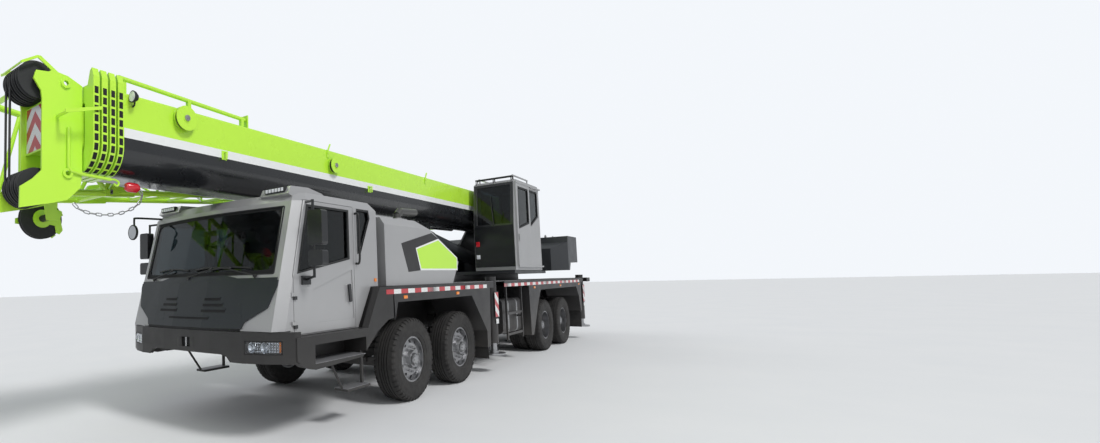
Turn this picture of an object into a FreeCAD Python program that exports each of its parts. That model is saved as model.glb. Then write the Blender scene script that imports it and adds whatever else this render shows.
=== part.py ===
import FreeCAD, Part
import math
import os

import Sketcher

# Four-axle truck crane, millimetres. +X forward, +Y to the vehicle's left, +Z up, ground at Z 0.
# Lengths along the vehicle are stations, measured forward from the first axle.

doc = FreeCAD.newDocument("mobile_crane")
sheet = doc.addObject("Spreadsheet::Sheet", "dims")
sheet_row = 0
nodes = []
X_AXIS = FreeCAD.Vector(1, 0, 0)
Y_AXIS = FreeCAD.Vector(0, 1, 0)
Z_AXIS = FreeCAD.Vector(0, 0, 1)


class Size:
    """A length as its value and as the expression over the sheet that gives it."""

    def __init__(self, text, value):
        self.text = text
        self.value = value

    def __add__(self, other):
        return Size(f"({self.text} + {text_of(other)})", self.value + value_of(other))

    def __radd__(self, other):
        return Size(f"({text_of(other)} + {self.text})", value_of(other) + self.value)

    def __sub__(self, other):
        return Size(f"({self.text} - {text_of(other)})", self.value - value_of(other))

    def __rsub__(self, other):
        return Size(f"({text_of(other)} - {self.text})", value_of(other) - self.value)

    def __mul__(self, other):
        return Size(f"({self.text} * {text_of(other)})", self.value * value_of(other))

    def __rmul__(self, other):
        return self * other

    def __truediv__(self, other):
        return Size(f"({self.text} / {text_of(other)})", self.value / value_of(other))

    def __neg__(self):
        return Size(f"(0 - {self.text})", -self.value)


def text_of(length):
    """The expression text of a size or of a plain number."""
    return length.text if isinstance(length, Size) else f"{length:.6f}"


def value_of(length):
    """The number of a size or of a plain number."""
    return length.value if isinstance(length, Size) else float(length)


def size(alias, number):
    """Write one driving dimension into the sheet and return it."""
    global sheet_row
    sheet_row += 1
    sheet.set(f"A{sheet_row}", alias)
    sheet.set(f"B{sheet_row}", str(number))
    sheet.setAlias(f"B{sheet_row}", alias)
    return Size(f"dims.{alias}", float(number))


def bind(thing, name, length):
    """Give a property its value and, where it comes from the sheet, its expression."""
    if isinstance(length, Size):
        thing.setExpression(name, length.text)
    elif "." in name:
        thing.setExpression(name, f"{length:.6f}")
    else:
        setattr(thing, name, float(length))


def move_to(thing, station, across, height):
    """Place a thing at a station along the vehicle."""
    bind(thing, "Placement.Base.x", axle1_x + station)
    bind(thing, "Placement.Base.y", across)
    bind(thing, "Placement.Base.z", height)


def box(name, stations, across, heights):
    """A block between two stations, two places across and two heights."""
    block = doc.addObject("Part::Box", name)
    bind(block, "Length", stations[1] - stations[0])
    bind(block, "Width", across[1] - across[0])
    bind(block, "Height", heights[1] - heights[0])
    move_to(block, stations[0], across[0], heights[0])
    return block


def tube(name, radius, length, start, axis, bore=None):
    """A round bar, or a tube where it has a bore, from a start point along an axis."""
    bar = doc.addObject("Part::Cylinder", name)
    bar.Placement.Rotation = FreeCAD.Rotation(Z_AXIS, axis)
    bind(bar, "Radius", radius)
    bind(bar, "Height", length)
    move_to(bar, *start)
    if bore is None:
        return bar
    core = doc.addObject("Part::Cylinder", name + "_bore")
    core.Placement.Rotation = FreeCAD.Rotation(Z_AXIS, axis)
    bind(core, "Radius", bore)
    bind(core, "Height", length)
    move_to(core, *start)
    return cut(name + "_tube", bar, [core])


def strut(name, start, end, radius):
    """A round brace from one point to another."""
    first = FreeCAD.Vector(*[value_of(length) for length in start])
    last = FreeCAD.Vector(*[value_of(length) for length in end])
    brace = doc.addObject("Part::Cylinder", name)
    brace.Placement.Rotation = FreeCAD.Rotation(Z_AXIS, last - first)
    bind(brace, "Radius", radius)
    brace.Height = (last - first).Length
    move_to(brace, *start)
    return brace


def outline(body, plane, points):
    """A closed sketch of straight edges on one of a body's own planes."""
    sketch = body.newObject("Sketcher::SketchObject", body.Name + "_outline")
    base = [face for face in body.Origin.OriginFeatures if face.Role == plane][0]
    sketch.AttachmentSupport = [(base, "")]
    sketch.MapMode = "FlatFace"
    count = len(points)
    corners = [FreeCAD.Vector(value_of(p[0]), value_of(p[1]), 0) for p in points]
    edges = [Part.LineSegment(corners[i], corners[(i + 1) % count]) for i in range(count)]
    sketch.addGeometry(edges, False)
    joints = [Sketcher.Constraint("Coincident", i, 2, (i + 1) % count, 1) for i in range(count)]
    sketch.addConstraint(joints)
    for i, point in enumerate(points):
        for kind, length in (("DistanceX", point[0]), ("DistanceY", point[1])):
            row = sketch.addConstraint(Sketcher.Constraint(kind, -1, 1, i, 1, value_of(length)))
            if isinstance(length, Size):
                sketch.setExpression(f"Constraints[{row}]", length.text)
    return sketch


PLANE_OF = {"side": "XZ_Plane", "front": "YZ_Plane", "top": "XY_Plane"}


def prism(name, view, points, low, high, rounds=()):
    """An outline seen from the side, front or top, made solid from low to high across that view.

    rounds: (corner numbers, radius) rows for edges rounded after the pad.
    """
    body = doc.addObject("PartDesign::Body", name)
    sketch = outline(body, PLANE_OF[view], points)
    pad = body.newObject("PartDesign::Pad", name + "_pad")
    pad.Profile = sketch
    bind(pad, "Length", high - low)
    pad.Reversed = view == "side"
    if view == "side":
        move_to(body, 0, low, 0)
    elif view == "front":
        move_to(body, low, 0, 0)
    else:
        move_to(body, 0, 0, low)
    last = pad
    for corners, radius in rounds:
        for feature in (sheet, sketch, last):
            feature.recompute()
        spots = [[value_of(points[i][0]), value_of(points[i][1])] for i in corners]
        names = long_edges(last.Shape, view, spots)
        fillet = body.newObject("PartDesign::Fillet", f"{name}_round{corners[0]}")
        fillet.Base = (last, names)
        bind(fillet, "Radius", radius)
        last = fillet
    body.Tip = last
    return body


def long_edges(shape, view, spots):
    """Names of the edges that run across a view at the given corners of its outline."""
    found = []
    for number, edge in enumerate(shape.Edges, 1):
        ends = [vertex.Point for vertex in edge.Vertexes]
        if len(ends) != 2:
            continue
        if view == "side":
            flat = [(end.x, end.z) for end in ends]
        elif view == "front":
            flat = [(end.y, end.z) for end in ends]
        else:
            flat = [(end.x, end.y) for end in ends]
        for spot in spots:
            if all(math.dist(pair, spot) < 0.01 for pair in flat):
                found.append(f"Edge{number}")
    return found


def ring(name, points):
    """A turned piece about the Y axis from (along the axis, radius) points, left at its own centre."""
    body = doc.addObject("PartDesign::Body", name)
    sketch = outline(body, "YZ_Plane", points)
    turned = body.newObject("PartDesign::Revolution", name + "_turned")
    turned.Profile = sketch
    turned.ReferenceAxis = (sketch, ["H_Axis"])
    turned.Angle = 360
    return body


def fuse(name, pieces):
    """Several touching pieces welded into one."""
    joined = doc.addObject("Part::MultiFuse", name)
    joined.Shapes = pieces
    joined.Refine = True
    return joined


def cut(name, base, tools):
    """A piece with others taken out of it."""
    for number, tool in enumerate(tools):
        result = doc.addObject("Part::Cut", name if number == len(tools) - 1 else f"{name}_{number}")
        result.Base = base
        result.Tool = tool
        base = result
    return base


def common(name, first, second):
    """What two pieces share."""
    shared = doc.addObject("Part::Common", name)
    shared.Base = first
    shared.Tool = second
    return shared


def mirror(name, source):
    """The same piece on the other side of the vehicle."""
    twin = doc.addObject("Part::Mirroring", name)
    twin.Source = source
    twin.Base = FreeCAD.Vector(0, 0, 0)
    twin.Normal = Y_AXIS
    return twin


def both(name, piece):
    """A piece and its twin on the other side, welded or side by side."""
    return [piece, mirror(name + "_twin", piece)]


def group(name, pieces):
    """Like pieces of one sub-part that don't touch."""
    gathered = doc.addObject("Part::Compound", name)
    gathered.Links = pieces
    return gathered


def node(label, thing):
    """Register a finished sub-part under the name of its file."""
    thing.Label = label
    nodes.append(thing)
    return thing


def loft(name, sections):
    """A skin through level outlines; each row is (height, outline points)."""
    rings = []
    for number, (height, points) in enumerate(sections):
        sketch = doc.addObject("Sketcher::SketchObject", f"{name}_level{number}")
        corners = [FreeCAD.Vector(value_of(p[0]), value_of(p[1]), 0) for p in points]
        count = len(corners)
        for i in range(count):
            sketch.addGeometry(Part.LineSegment(corners[i], corners[(i + 1) % count]), False)
        for i in range(count):
            sketch.addConstraint(Sketcher.Constraint("Coincident", i, 2, (i + 1) % count, 1))
        for i, point in enumerate(points):
            for kind, length in (("DistanceX", point[0]), ("DistanceY", point[1])):
                row = sketch.addConstraint(Sketcher.Constraint(kind, -1, 1, i, 1, value_of(length)))
                if isinstance(length, Size):
                    sketch.setExpression(f"Constraints[{row}]", length.text)
        move_to(sketch, 0, 0, height)
        rings.append(sketch)
    skin = doc.addObject("Part::Loft", name)
    skin.Sections = rings
    skin.Solid = True
    skin.Ruled = True
    return skin


# Driving dimensions

axle1_x = size("axle1_x", 2345)
axle1 = Size("0", 0.0)
axle2 = -size("axle2_back", 1450)
axle3 = -size("axle3_back", 5700)
axle4 = -size("axle4_back", 7050)
tyre_radius = size("tyre_radius", 535)
tyre_width = size("tyre_width", 300)
track_half = size("track_half", 1090)
dual_spacing = size("dual_spacing", 340)
rim_radius = size("rim_radius", 286)
hub_bore = size("hub_bore", 52)
running_gap = size("running_gap", 0.3)
clear_gap = size("clear_gap", 8)

deck_top = size("deck_top", 1500)
deck_half = size("deck_half", 1375)
deck_depth = size("deck_depth", 100)
deck_sheet = size("deck_sheet", 12)
deck_front = size("deck_front", 690)
deck_rear = -size("deck_rear_back", 9150)
rail_outer = size("rail_outer", 430)
rail_thick = size("rail_thick", 80)
rail_bottom = size("rail_bottom", 850)
kingpin_half = size("kingpin_half", 880)
kingpin_radius = size("kingpin_radius", 36)

slew_x = -size("slew_back", 5600)
ring_radius = size("ring_radius", 700)
ring_inner = size("ring_inner", 560)
ring_base_top = size("ring_base_top", 1560)
platform_top = size("platform_top", 1700)

pivot_x = -size("pivot_back", 7400)
pivot_z = size("pivot_height", 2950)
boom_front = size("boom_front", 3700)
boom_tail = -size("boom_tail_back", 7900)
boom_top = size("boom_top", 3350)
boom_bottom = size("boom_bottom", 2600)
boom_half = size("boom_half", 390)
boom_wall = size("boom_wall", 12)
boom_step = size("boom_step", 42)
collar_pitch = size("collar_pitch", 78)
collar_thick = size("collar_thick", 58)
collar_half = size("collar_half", 402)

luff_foot_x = -size("luff_foot_back", 5750)
luff_foot_z = size("luff_foot_height", 1840)
luff_eye_x = -size("luff_eye_back", 2600)
luff_eye_z = size("luff_eye_height", 2400)
luff_barrel_radius = size("luff_barrel_radius", 135)
luff_rod_radius = size("luff_rod_radius", 85)
luff_pin_radius = size("luff_pin_radius", 50)
plate_thick = size("side_plate_thick", 40)
side_plate_inner = size("side_plate_inner", 415)

cab_rear = size("cab_rear", 820)
cab_half = size("cab_half", 1250)
cab_wall = size("cab_wall", 50)
cab_bottom = size("cab_bottom", 1050)
cab_roof = size("cab_roof", 2500)
door_gap = size("door_gap", 6)
door_rear = size("door_rear", 1300)
door_front = size("door_front", 2340)
glass_thick = size("glass_thick", 8)

hood_half = size("hood_half", 1290)
hood_sheet = size("hood_sheet", 25)
bumper_half = size("bumper_half", 1375)
bumper_sheet = size("bumper_sheet", 40)

jack_radius = size("jack_radius", 85)
jack_rod_radius = size("jack_rod_radius", 55)
jack_across = size("jack_across", 1285)
jack_top = size("jack_top", 1580)
pad_bottom = size("pad_bottom", 290)
beam_width = size("beam_width", 220)
beam_height = size("beam_height", 260)
beam_low = size("beam_low", 930)
beam_reach = size("beam_reach", 1170)
beam_wall = size("beam_wall", 14)
box_wall = size("outrigger_box_wall", 20)
box_half = size("outrigger_box_half", 1180)

# Wheels: a tyre and a rim for a single front wheel, and a pair of each for the twin rear wheels

tyre_half = tyre_width / 2
tyre_shape = [  # (along the axle from the tyre's middle, radius)
    (-tyre_half + 35, rim_radius), (tyre_half - 35, rim_radius), (tyre_half, rim_radius + 44),
    (tyre_half + 5, tyre_radius - 125), (tyre_half - 10, tyre_radius - 30),
    (tyre_half - 40, tyre_radius), (-tyre_half + 40, tyre_radius),
    (-tyre_half + 10, tyre_radius - 30), (-tyre_half - 5, tyre_radius - 125),
    (-tyre_half, rim_radius + 44)]
bead = tyre_half - 35
flange = bead + 12


def hand_holes(body, across, high, count):
    """A circle of round openings through a wheel's disc."""
    sketch = body.newObject("Sketcher::SketchObject", body.Name + "_hole")
    base = [face for face in body.Origin.OriginFeatures if face.Role == "XZ_Plane"][0]
    sketch.AttachmentSupport = [(base, "")]
    sketch.MapMode = "FlatFace"
    middle = FreeCAD.Vector(0, value_of(across), 0)
    sketch.addGeometry(Part.Circle(middle, Z_AXIS, high), False)
    row = sketch.addConstraint(Sketcher.Constraint("DistanceY", -1, 1, 0, 3, value_of(across)))
    if isinstance(across, Size):
        sketch.setExpression(f"Constraints[{row}]", across.text)
    sketch.addConstraint(Sketcher.Constraint("PointOnObject", 0, 3, -2))
    sketch.addConstraint(Sketcher.Constraint("Radius", 0, high))
    pocket = body.newObject("PartDesign::Pocket", body.Name + "_pocket")
    pocket.Profile = sketch
    pocket.Type = 1
    pocket.Midplane = True
    pattern = body.newObject("PartDesign::PolarPattern", body.Name + "_holes")
    pattern.Originals = [pocket]
    axle = [line for line in body.Origin.OriginFeatures if line.Role == "Y_Axis"][0]
    pattern.Axis = (axle, [""])
    pattern.Angle = 360
    pattern.Occurrences = count
    body.Tip = pattern


def front_rim(name):
    """A single front wheel: barrel, domed disc with hand holes, and hub bored for the spindle."""
    hub_face = bead + 35
    body = ring(name, [
        (-flange, rim_radius - 14), (-flange, rim_radius + 15), (-bead, rim_radius),
        (bead, rim_radius), (flange, rim_radius + 15), (flange, rim_radius - 14),
        (bead - 43, rim_radius - 14), (bead - 15, 205), (bead - 15, 120), (hub_face, 105),
        (hub_face, 0), (70, 0), (70, hub_bore), (-60, hub_bore), (-60, 110), (bead - 33, 120),
        (bead - 33, 200), (bead - 60, rim_radius - 26), (-flange + 10, rim_radius - 26),
        (-flange, rim_radius - 20)])
    hand_holes(body, rim_radius - 54, 26, 10)
    return body


def twin_rim(name):
    """Two rear wheels bolted face to face on one hub, from the middle between them."""
    apart = dual_spacing / 2
    body = ring(name, [
        (apart + flange, rim_radius - 14), (apart + flange, rim_radius + 15),
        (apart + bead, rim_radius), (apart - bead, rim_radius),
        (apart - flange, rim_radius + 15), (apart - flange, rim_radius - 14), (12, 215),
        (-12, 215), (flange - apart, rim_radius - 14), (flange - apart, rim_radius + 15),
        (bead - apart, rim_radius), (-apart - bead, rim_radius),
        (-apart - flange, rim_radius + 15), (-apart - flange, rim_radius - 14),
        (-88, rim_radius - 14), (-24, 195), (-24, 150), (-200, 150), (-200, hub_bore),
        (60, hub_bore), (60, 0), (220, 0), (220, 95), (24, 120), (24, 195),
        (88, rim_radius - 14)])
    hand_holes(body, rim_radius - 54, 24, 10)
    return body


def put_wheel(thing, station, across, side):
    """Place a turned piece on its axle, its outer face away from the vehicle."""
    if side < 0:
        thing.Placement.Rotation = FreeCAD.Rotation(Z_AXIS, 180)
    move_to(thing, station, across * side, tyre_radius)


SIDES = (("left", 1), ("right", -1))
FRONT_AXLES = ((1, axle1), (2, axle2))
REAR_AXLES = ((3, axle3), (4, axle4))
for number, station in FRONT_AXLES:
    for side_name, side in SIDES:
        tyre = ring(f"tyre_axle{number}_{side_name}", tyre_shape)
        put_wheel(tyre, station, track_half, side)
        node(f"tyre_axle{number}_{side_name}", tyre)
        rim = front_rim(f"rim_axle{number}_{side_name}")
        put_wheel(rim, station, track_half, side)
        node(f"rim_axle{number}_{side_name}", rim)

twin_middle = track_half - dual_spacing / 2
for number, station in REAR_AXLES:
    for side_name, side in SIDES:
        pair = []
        for place, across in (("outer", track_half), ("inner", track_half - dual_spacing)):
            tyre = ring(f"tyre_axle{number}_{side_name}_{place}", tyre_shape)
            put_wheel(tyre, station, across, side)
            pair.append(tyre)
        node(f"tyres_axle{number}_{side_name}", group(f"tyre_pair{number}_{side_name}", pair))
        rims = twin_rim(f"rims_axle{number}_{side_name}")
        put_wheel(rims, station, twin_middle, side)
        node(f"rims_axle{number}_{side_name}", rims)

# Steering knuckles: pin in the axle beam's fork, plates above and below, spindle into the hub

fork_half = size("axle_eye_half", 75)
knuckle_plate = size("knuckle_plate", 50)
for number, station in FRONT_AXLES:
    for side_name, side in SIDES:
        plan = (kingpin_half - 60, kingpin_half + 120)
        reach = (plan[0], plan[1]) if side > 0 else (-plan[1], -plan[0])
        name = f"knuckle_axle{number}_{side_name}"
        pieces = []
        for level, low in (("low", -fork_half - knuckle_plate - 1), ("high", fork_half + 1)):
            base = tyre_radius + low
            pieces.append(box(f"{name}_{level}", (station - 60, station + 60), reach,
                              (base, base + knuckle_plate)))
        pin_low = tyre_radius - fork_half - knuckle_plate - 1
        pieces.append(tube(f"{name}_pin", kingpin_radius, (fork_half + knuckle_plate + 1) * 2,
                           (station, kingpin_half * side, pin_low), Z_AXIS))
        web_start = kingpin_half + 88
        web = (web_start, plan[1]) if side > 0 else (-plan[1], -web_start)
        pieces.append(box(f"{name}_web", (station - 60, station + 60), web,
                          (pin_low, pin_low + (fork_half + knuckle_plate + 1) * 2)))
        pieces.append(tube(f"{name}_spindle", hub_bore - running_gap,
                           track_half + 60 - plan[1],
                           (station, plan[1] * side, tyre_radius), Y_AXIS * side))
        arm = (kingpin_half - 60, kingpin_half)
        if side < 0:
            arm = (-arm[1], -arm[0])
        pieces.append(box(f"{name}_arm", (station - 220, station - 50), arm,
                          (pin_low, pin_low + 30)))
        node(name, fuse(name + "_all", pieces))

# Axles: forged front beams and rear housings, each under its leaf springs

spring_across = size("spring_across", 490)
spring_half = size("spring_half", 40)
axle_parts = {}
for number, station in FRONT_AXLES:
    name = f"axle{number}"
    beam = [box(f"{name}_beam", (station - 50, station + 50), (-650, 650),
                (tyre_radius - 130, tyre_radius - 20))]
    for side_name, side in SIDES:
        eye = tube(f"{name}_{side_name}_eye", fork_half, fork_half * 2,
                   (station, kingpin_half * side, tyre_radius - fork_half), Z_AXIS,
                   kingpin_radius + running_gap)
        ramp = prism(f"{name}_{side_name}_ramp", "front", [
            (640 * side, tyre_radius - 130), (760 * side, tyre_radius - 50),
            ((kingpin_half - 55) * side, tyre_radius - 50),
            ((kingpin_half - 55) * side, tyre_radius + 60), (640 * side, tyre_radius - 20)],
            station - 50, station + 50)
        beam += [eye, ramp]
    axle_parts[number] = beam
for number, station in REAR_AXLES:
    name = f"axle{number}"
    inner_end = twin_middle - 200 - clear_gap
    housing = [
        tube(f"{name}_tube", 90, inner_end * 2, (station, -inner_end, tyre_radius), Y_AXIS),
        tube(f"{name}_bowl", 205, 260, (station, -130, tyre_radius), Y_AXIS),
        tube(f"{name}_nose", 95, 330, (station, 0, tyre_radius), X_AXIS)]
    for side_name, side in SIDES:
        housing.append(tube(f"{name}_{side_name}_spindle", hub_bore - running_gap,
                            twin_middle + 50 - inner_end + 10,
                            (station, (inner_end - 10) * side, tyre_radius), Y_AXIS * side))
    axle_parts[number] = housing

# Leaf springs: a stepped stack over each axle, its ends in hangers under the frame rails

SPRINGS = ((1, axle1, -20), (2, axle2, -20), (3, axle3, 90), (4, axle4, 90))  # axle, station, seat
for number, station, seat in SPRINGS:
    low = tyre_radius + seat
    for side_name, side in SIDES:
        across = (spring_across - spring_half, spring_across + spring_half)
        if side < 0:
            across = (-across[1], -across[0])
        top = rail_bottom - 70
        stack = prism(f"spring{number}_{side_name}", "side", [
            (station - 120, low), (station + 120, low), (station + 260, low + 60),
            (station + 560, top - 20), (station + 560, top + 10), (station + 240, low + 110),
            (station - 240, low + 110), (station - 560, top + 10), (station - 560, top - 20),
            (station - 260, low + 60)], across[0], across[1])
        hangers = []
        for end_name, end in (("front", 545), ("rear", -545)):
            hangers.append(box(f"hanger{number}_{side_name}_{end_name}",
                               (station + end - 45, station + end + 45),
                               (min(side, 0) * (spring_across + 60) + max(side, 0) * rail_outer,
                                max(side, 0) * (spring_across + 60) + min(side, 0) * rail_outer),
                               (top - 40, rail_bottom + 140)))
        saddle = box(f"saddle{number}_{side_name}", (station - 70, station + 70), across,
                     (low - 60, low + 5))
        axle_parts[number] += [stack, saddle] + hangers
node("axles", group("axle_set", [fuse(f"axle{number}_set", parts)
                                 for number, parts in axle_parts.items()]))

# Frame: two deep rails with cross members, the slewing pedestal and the rear under-run bar

rail_top = deck_top - deck_sheet
frame_splice = size("frame_splice", 520)
rail = prism("rail", "side", [
    (2400, rail_bottom - 20), (2400, cab_bottom), (frame_splice, cab_bottom), (400, rail_top),
    (deck_rear + 100, rail_top), (deck_rear + 100, rail_bottom + 120),
    (deck_rear + 900, rail_bottom), (1300, rail_bottom), (1700, rail_bottom - 20)],
    rail_outer - rail_thick, rail_outer)
frame_parts = both("rail", rail)
for number, (station, low, high) in enumerate((
        (2310, 850, 1030), (700, 860, 1040), (-1750, 900, 1200), (-3400, 900, 1300),
        (-4700, 900, 1300), (-6375, 900, 1250), (-7800, 900, 1300))):
    frame_parts.append(box(f"cross{number}", (station - 60, station + 60),
                           (rail_thick - rail_outer, rail_outer - rail_thick), (low, high)))
frame_parts.append(box("pedestal_box", (slew_x - 720, slew_x + 720), (-620, 620),
                       (rail_top - 190, rail_top)))
frame_parts.append(tube("pedestal_ring", ring_radius, ring_base_top - rail_top + 70,
                        (slew_x, 0, rail_top - 70), Z_AXIS))
frame_parts.append(box("underrun_bar", (deck_rear + 20, deck_rear + 100), (-1150, 1150),
                       (rail_bottom - 260, rail_bottom - 120)))
for side_name, side in SIDES:
    bar_across = sorted((side * 380.0, side * 300.0))
    frame_parts.append(box(f"underrun_post_{side_name}", (deck_rear + 100, deck_rear + 180),
                           bar_across, (rail_bottom - 260, rail_bottom + 400)))
frame_body = fuse("frame_body", frame_parts)

# Outriggers: two boxes through the frame, each with one beam to the left and one to the right

OUTRIGGERS = (("front", -2600, -2880), ("rear", -8450, -8730))  # name, left and right beam stations
beam_top = beam_low + beam_height
box_low = beam_low - clear_gap / 4 - box_wall
box_high = beam_top + clear_gap / 4 + box_wall
box_cuts = []
outrigger_boxes = []
for name, left_x, right_x in OUTRIGGERS:
    ends = (right_x - beam_width / 2 - 2 - box_wall, left_x + beam_width / 2 + 2 + box_wall)
    outer = box(f"{name}_box_outer", ends, (-box_half, box_half), (box_low, box_high))
    bores = []
    for beam_x in (left_x, right_x):
        bores.append(box(f"{name}_bore_{-beam_x}",
                         (beam_x - beam_width / 2 - running_gap, beam_x + beam_width / 2 + running_gap),
                         (-box_half - 1, box_half + 1),
                         (beam_low - running_gap, beam_top + running_gap)))
    outrigger_boxes.append(cut(f"{name}_box", outer, bores))
    box_cuts.append(box(f"{name}_box_seat", ends, (-box_half, box_half), (box_low, box_high)))
node("outrigger_boxes", group("box_group", outrigger_boxes))
frame_front_area = box("frame_front_area", (frame_splice, 2600), (-rail_outer - 10, rail_outer + 10),
                       (rail_bottom - 300, rail_top + 100))
frame_front = common("frame_front", frame_body, frame_front_area)
frame_rear = cut("frame_rear", frame_body, [frame_front_area] + box_cuts)
node("chassis_frame", group("frame_set", [frame_rear, frame_front]))

for name, left_x, right_x in OUTRIGGERS:
    for side_name, side, beam_x in (("left", 1, left_x), ("right", -1, right_x)):
        label = f"outrigger_beam_{name}_{side_name}"
        across = (-beam_reach, jack_across - jack_radius + 20)
        hollow = (-beam_reach - 1, jack_across - jack_radius - 20)
        if side < 0:
            across = (-across[1], -across[0])
            hollow = (-hollow[1], -hollow[0])
        arm = box(f"{label}_arm", (beam_x - beam_width / 2, beam_x + beam_width / 2), across,
                  (beam_low, beam_top))
        inside = box(f"{label}_inside",
                     (beam_x - beam_width / 2 + beam_wall, beam_x + beam_width / 2 - beam_wall),
                     hollow, (beam_low + beam_wall, beam_top - beam_wall))
        post = tube(f"{label}_post", jack_radius, jack_top - beam_low + 450,
                    (beam_x, jack_across * side, beam_low - 450), Z_AXIS)
        body = fuse(f"{label}_body", [cut(f"{label}_hollow", arm, [inside]), post])
        bore = tube(f"{label}_bore", jack_rod_radius + running_gap, jack_top - 40 - pad_bottom,
                    (beam_x, jack_across * side, pad_bottom), Z_AXIS)
        node(label, cut(f"{label}_bored", body, [bore]))
        jack = f"outrigger_jack_{name}_{side_name}"
        rod = tube(f"{jack}_rod", jack_rod_radius, jack_top - 60 - pad_bottom - 20,
                   (beam_x, jack_across * side, pad_bottom + 20), Z_AXIS)
        foot = tube(f"{jack}_foot", 185, 30, (beam_x, jack_across * side, pad_bottom), Z_AXIS)
        cup = tube(f"{jack}_cup", 80, 45, (beam_x, jack_across * side, pad_bottom + 20), Z_AXIS)
        node(jack, fuse(f"{jack}_all", [rod, foot, cup]))

# Deck: a folded tray over the whole width, with the engine opening, the ring hole and jack notches,
# and with the wheel arches hung from its edges

tray = box("deck_outer", (deck_rear, deck_front), (-deck_half, deck_half),
           (deck_top - deck_depth, deck_top))
under = box("deck_under", (deck_rear + 30, deck_front - 30), (15 - deck_half, deck_half - 15),
            (deck_top - deck_depth - 1, deck_top - deck_sheet))
deck_cuts = [under, box("engine_opening", (-1000, 600), (-345, 345), (deck_top - 200, deck_top + 10)),
             tube("ring_opening", ring_radius + clear_gap, 300, (slew_x, 0, deck_top - 200), Z_AXIS)]
for name, left_x, right_x in OUTRIGGERS:
    for side_name, side in SIDES:
        notch = (jack_across - jack_radius - 25, deck_half + 10)
        if side < 0:
            notch = (-notch[1], -notch[0])
        deck_cuts.append(box(f"{name}_notch_{side_name}",
                             (right_x - jack_radius - 25, left_x + jack_radius + 25), notch,
                             (deck_top - 200, deck_top + 10)))
deck_tray = cut("deck_tray", tray, deck_cuts)
arch_inner = size("arch_inner", 640)
arch_outer = deck_half
deck_low = deck_top - deck_depth
front_arch = prism("front_arch", "side", [
    (deck_front - 20, deck_low), (650, 1095), (585, 1300), (-1600, 1300), (-2140, 720), (-2140, 460),
    (-2260, 460), (-2330, deck_low)], arch_inner, arch_outer)
rear_arch = prism("rear_arch", "side", [
    (-4270, deck_low), (-4310, 450), (-4440, 450), (-4810, 1070), (-5000, 1300), (-7750, 1300),
    (-7960, 1070), (-8060, 700), (-8180, 700), (-8200, deck_low)], arch_inner, arch_outer)
arch_parts = [deck_tray] + both("front_arch", front_arch) + both("rear_arch", rear_arch)
node("carrier_deck", fuse("deck_body", arch_parts))

# Engine: one block on its mounts between the rails

engine_parts = [
    box("engine_sump", (-720, 420), (-320, 320), (880, 1380)),
    box("engine_head", (-720, 360), (-280, 280), (1370, 1900))]
for number, station in enumerate((-600, 250)):
    engine_parts.append(box(f"engine_mount{number}", (station - 50, station + 50),
                            (rail_thick - rail_outer, rail_outer - rail_thick), (1180, 1240)))
node("engine_block", fuse("engine_body", engine_parts))

# Hood over the engine: a sheet box with a sloping rear, and the exhaust elbow on its roof

hood_front = deck_front + 10
HOOD = [(hood_front, deck_top), (hood_front, 2344), (-191, 2363), (-558, 2221), (-1362, 1817),
        (-1311, 1733), (-1140, deck_top)]
hood_skin = prism("hood_skin", "side", HOOD, -hood_half, hood_half)
hood_hollow = prism("hood_hollow", "side", [
    (hood_front - hood_sheet, deck_top - 1), (hood_front - hood_sheet, 2344 - hood_sheet),
    (-187, 2363 - hood_sheet), (-548, 2221 - hood_sheet), (-1335, 1805), (-1284, 1738),
    (-1112, deck_top - 1)], hood_sheet - hood_half, hood_half - hood_sheet)
hood_chamfer = 90
hood_shoulder = 2250
hood_top = 2380


def hood_frame(inset):
    """The hood seen from the front, with its slanted shoulders, an inset inside its outer face."""
    half = hood_half - inset
    return [(-half, deck_top - 2), (half, deck_top - 2), (half, hood_shoulder - inset / 2),
            (half - hood_chamfer, hood_top), (hood_chamfer - half, hood_top),
            (-half, hood_shoulder - inset / 2)]


hood_form = common("hood_form", hood_skin,
                   prism("hood_frame_outer", "front", hood_frame(0), -1500, 800))
hood_room = common("hood_room", hood_hollow,
                   prism("hood_frame_inner", "front", hood_frame(value_of(hood_sheet)), -1500, 800))
exhaust_y = 1120
exhaust = [tube("exhaust_riser", 55, 120, (100, exhaust_y, 2320), Z_AXIS),
           tube("exhaust_collar", 70, 30, (100, exhaust_y, 2345), Z_AXIS),
           strut("exhaust_elbow", (100, exhaust_y, 2420), (20, exhaust_y, 2480), 54),
           strut("exhaust_mouth", (30, exhaust_y, 2474), (-380, exhaust_y, 2496), 50)]
node("engine_hood", fuse("hood_body", [cut("hood_shell", hood_form, [hood_room])] + exhaust))

# Cab: a full-width shell with a bowed, swept front, door openings and windows

door_head = size("door_head", 2410)
sill_front = size("sill_front", 1640)
nose_inset = size("nose_inset", 80)


def cab_level(height, corner_x, nose_x, inset):
    """One level outline of the cab: sides, swept corners and the bowed front."""
    half = cab_half - inset
    return (height, [
        (cab_rear + inset, -half), (corner_x - 110, -half), (corner_x, nose_inset + inset - cab_half),
        (nose_x - 40, -650), (nose_x, -250), (nose_x, 250), (nose_x - 40, 650),
        (corner_x, cab_half - nose_inset - inset), (corner_x - 110, half), (cab_rear + inset, half)])


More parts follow.
